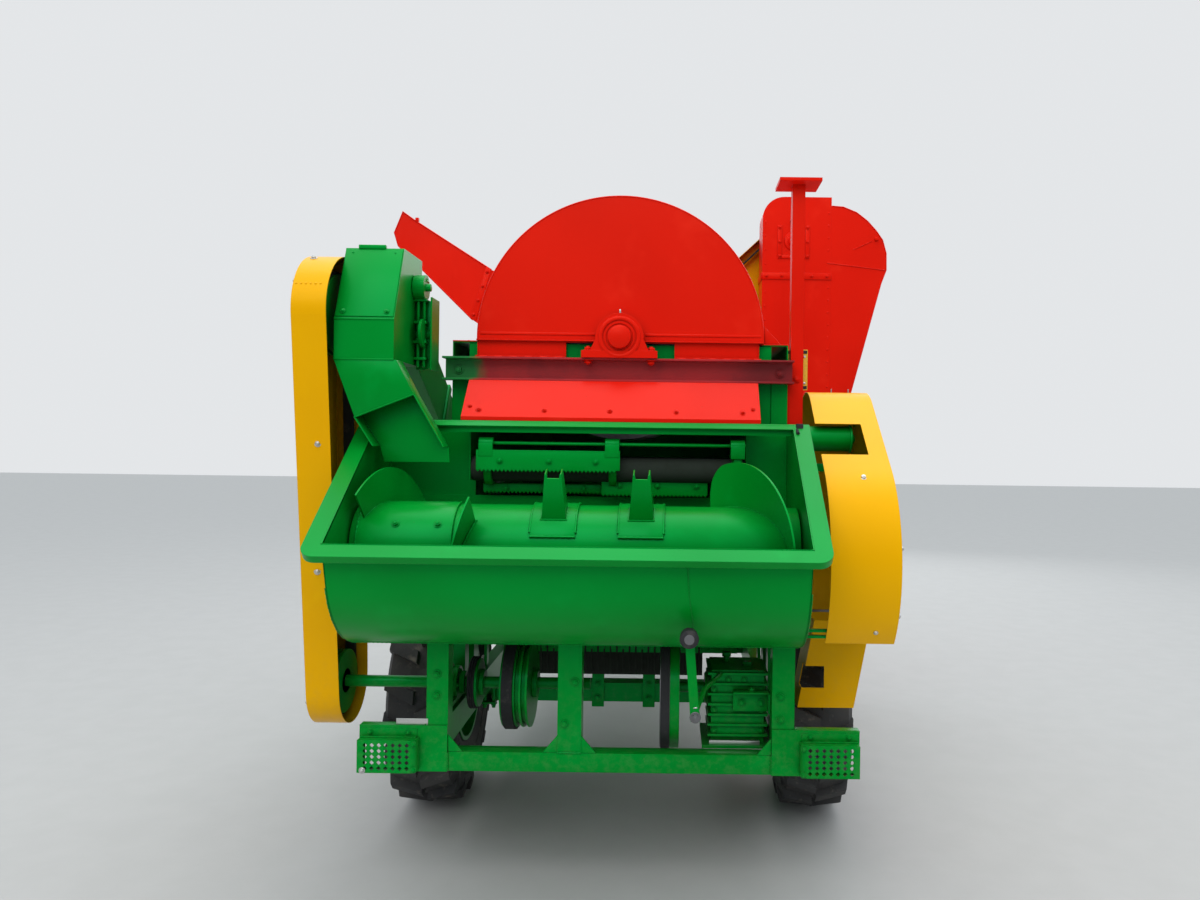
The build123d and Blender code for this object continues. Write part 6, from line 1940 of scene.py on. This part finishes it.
@dataclass
class BodyTrim:
    """Handles, screws, fan guards, collar and sieve rails along the sides and at the front."""

    panel: float = 0.616
    ring: tuple[Flat, ...] = ((1.800, 0.0265), (1.800, 0.040), (1.803, 0.042), (1.820, 0.042), (1.823, 0.040),
                              (1.823, 0.0265))

    def covers(self) -> None:
        """Handles, hinges and screws of the service covers, and the rivets of the panels."""
        spots, grips, hinges, rivets = [], [], [], []
        for side in (-1, 1):
            x, way = side * self.panel, (float(side), 0.0, 0.0)
            for y0, y1 in ((-0.41, 0.38), (0.68, 1.48)):
                mid = (y0 + y1) / 2
                spots += heads(way, grid((x,), (y0 + 0.05, mid, y1 - 0.05), (1.075, 1.655)))
                spots += heads(way, [(x, y, z) for z in (1.26, 1.46) for y in (y0 + 0.035, y1 - 0.035)])
                bow = ((0.0, -0.08), (0.035, -0.075), (0.035, 0.075), (0.0, 0.08))
                grips.append(wire("grip", [(x + side * out, mid + shift, 1.38) for out, shift in bow], 0.007))
                hinges += [rod("hinge", (x, y - 0.035, 1.688), (x, y + 0.035, 1.688), 0.009, 16)
                           for y in (y0 + 0.16, y1 - 0.16)]
            for y0, y1 in ((-0.52, 0.49), (0.57, 1.59)):
                for z in (0.95, 1.806):
                    rivets += heads(way, spaced((side * 0.599, y0 + 0.06, z), (side * 0.599, y1 - 0.06, z), 6))
        BOLTS.row("panels.screws", spots, Coat.ZINC, scale=0.75)
        fit("panels.grips", grips, Coat.ZINC)
        fit("panels.hinges", hinges)
        BOLTS.row("panels.rivets", rivets, scale=0.8, rivet=True)

    def fan(self) -> None:
        """Wire guards over the fan's air intakes."""
        wires = []
        for x in (-0.4325, 0.4325):
            wires += [hoop("ring", (x, 1.25, 0.862), radius, 0.0025, (40, 6), (0, math.pi / 2, 0))
                      for radius in (0.045, 0.075, 0.105)]
            for angle in range(0, 180, 30):
                start, end = around((1.25, 0.862), 0.112, (angle + 180, angle), x)
                wires.append(rod("wire", start, end, 0.0025, 8, 0.0))
        fit("fan.intake_guards", wires, Coat.ZINC)

    def front(self) -> None:
        """Bearing bolts and collar on the input line."""
        places = []
        for y in (1.605, 1.725):
            places += grid((-0.080, 0.080), (y,), (0.810,)) + grid((-0.045, 0.045), (y,), (0.940,))
        BOLTS.row("input_bearings.bolts", heads(UP, places), scale=1.1)
        fit("input_shaft.collar", [turned("collar", self.ring, (0.0, 0.0, 0.880), "y", 36)], Coat.STEEL, "input")

    def sieve(self) -> None:
        """Side rails, pivots and the ribbed skirt of the sieve box."""
        rails = slabs(0.001, *((x0, x1, -0.27, 0.94, z, z + 0.030)
                               for x0, x1 in paired(0.470, 0.004) for z in (0.700, 0.920)))
        fit("sieve.side_rails", rails)
        skirt = slabs(0.001, (-0.440, 0.330, -0.274, -0.268, 0.598, 0.760))
        skirt += slabs(0.002, *((x - 0.004, x + 0.004, -0.281, -0.273, 0.606, 0.750)
                                for x, _, _ in spaced((-0.425, 0.0, 0.0), (0.315, 0.0, 0.0), 30)))
        # The skirt takes the near-black painted shade finish.
        fit("sieve.ribbed_skirt", skirt, Coat.SOOT)
        spots = []
        for side in (-1, 1):
            spots += heads((float(side), 0.0, 0.0), grid((side * 0.574,), (-0.16, 0.81), (0.800, 0.630)))
        BOLTS.row("sieve.pivots", spots, Coat.ZINC, scale=1.3)

    def build(self) -> None:
        """Builds the trim."""
        self.covers()
        self.fan()
        self.front()
        self.sieve()


@dataclass
class MarkerTrim:
    """Black ends of the side marker, its rivets and the marker pole's bolts."""

    rear: float = -0.530

    def build(self) -> None:
        """Builds the trim."""
        ends = slabs(0.0003, *((0.622, 0.700, self.rear - 0.0008, self.rear + 0.0012, z, z + 0.012)
                               for z in (1.748, 1.881)))
        fit("side_marker.ends", ends, Coat.BELT)
        rivets = heads(REAR, grid((0.640, 0.690), (self.rear,), (1.770, 1.870)))
        BOLTS.row("side_marker.rivets", rivets, Coat.ZINC, scale=0.6, rivet=True)
        BOLTS.row("marker_pole.bolts", heads(REAR, grid((0.6555,), (-0.577,), (1.56, 1.78))), Coat.RED)


ASSEMBLIES = (
    ChuteForm(), HopperForm(), AugerForm(), FeederForm(), GuardForm(), LampForm(), CoverForm(), SpoutForm(),
    Wheels(), HopperTrim(), AugerTrim(), FeederTrim(), DrumEnd(), CoverTrim(), StrawTrim(), ReturnTrim(), TowerTrim(),
    GuardTrim(), LayTrim(), GearboxTrim(), CrankTrim(), LampTrim(), FrameTrim(), BodyTrim(), MarkerTrim(),
)


def main() -> None:
    """Builds the scene in order."""
    logging.basicConfig(level=logging.INFO, format="%(name)s %(message)s")
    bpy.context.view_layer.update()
    FrameFinish().dress()
    for assembly in ASSEMBLIES:
        assembly.build()
    Studio().build()


if __name__ == "__main__":
    main()
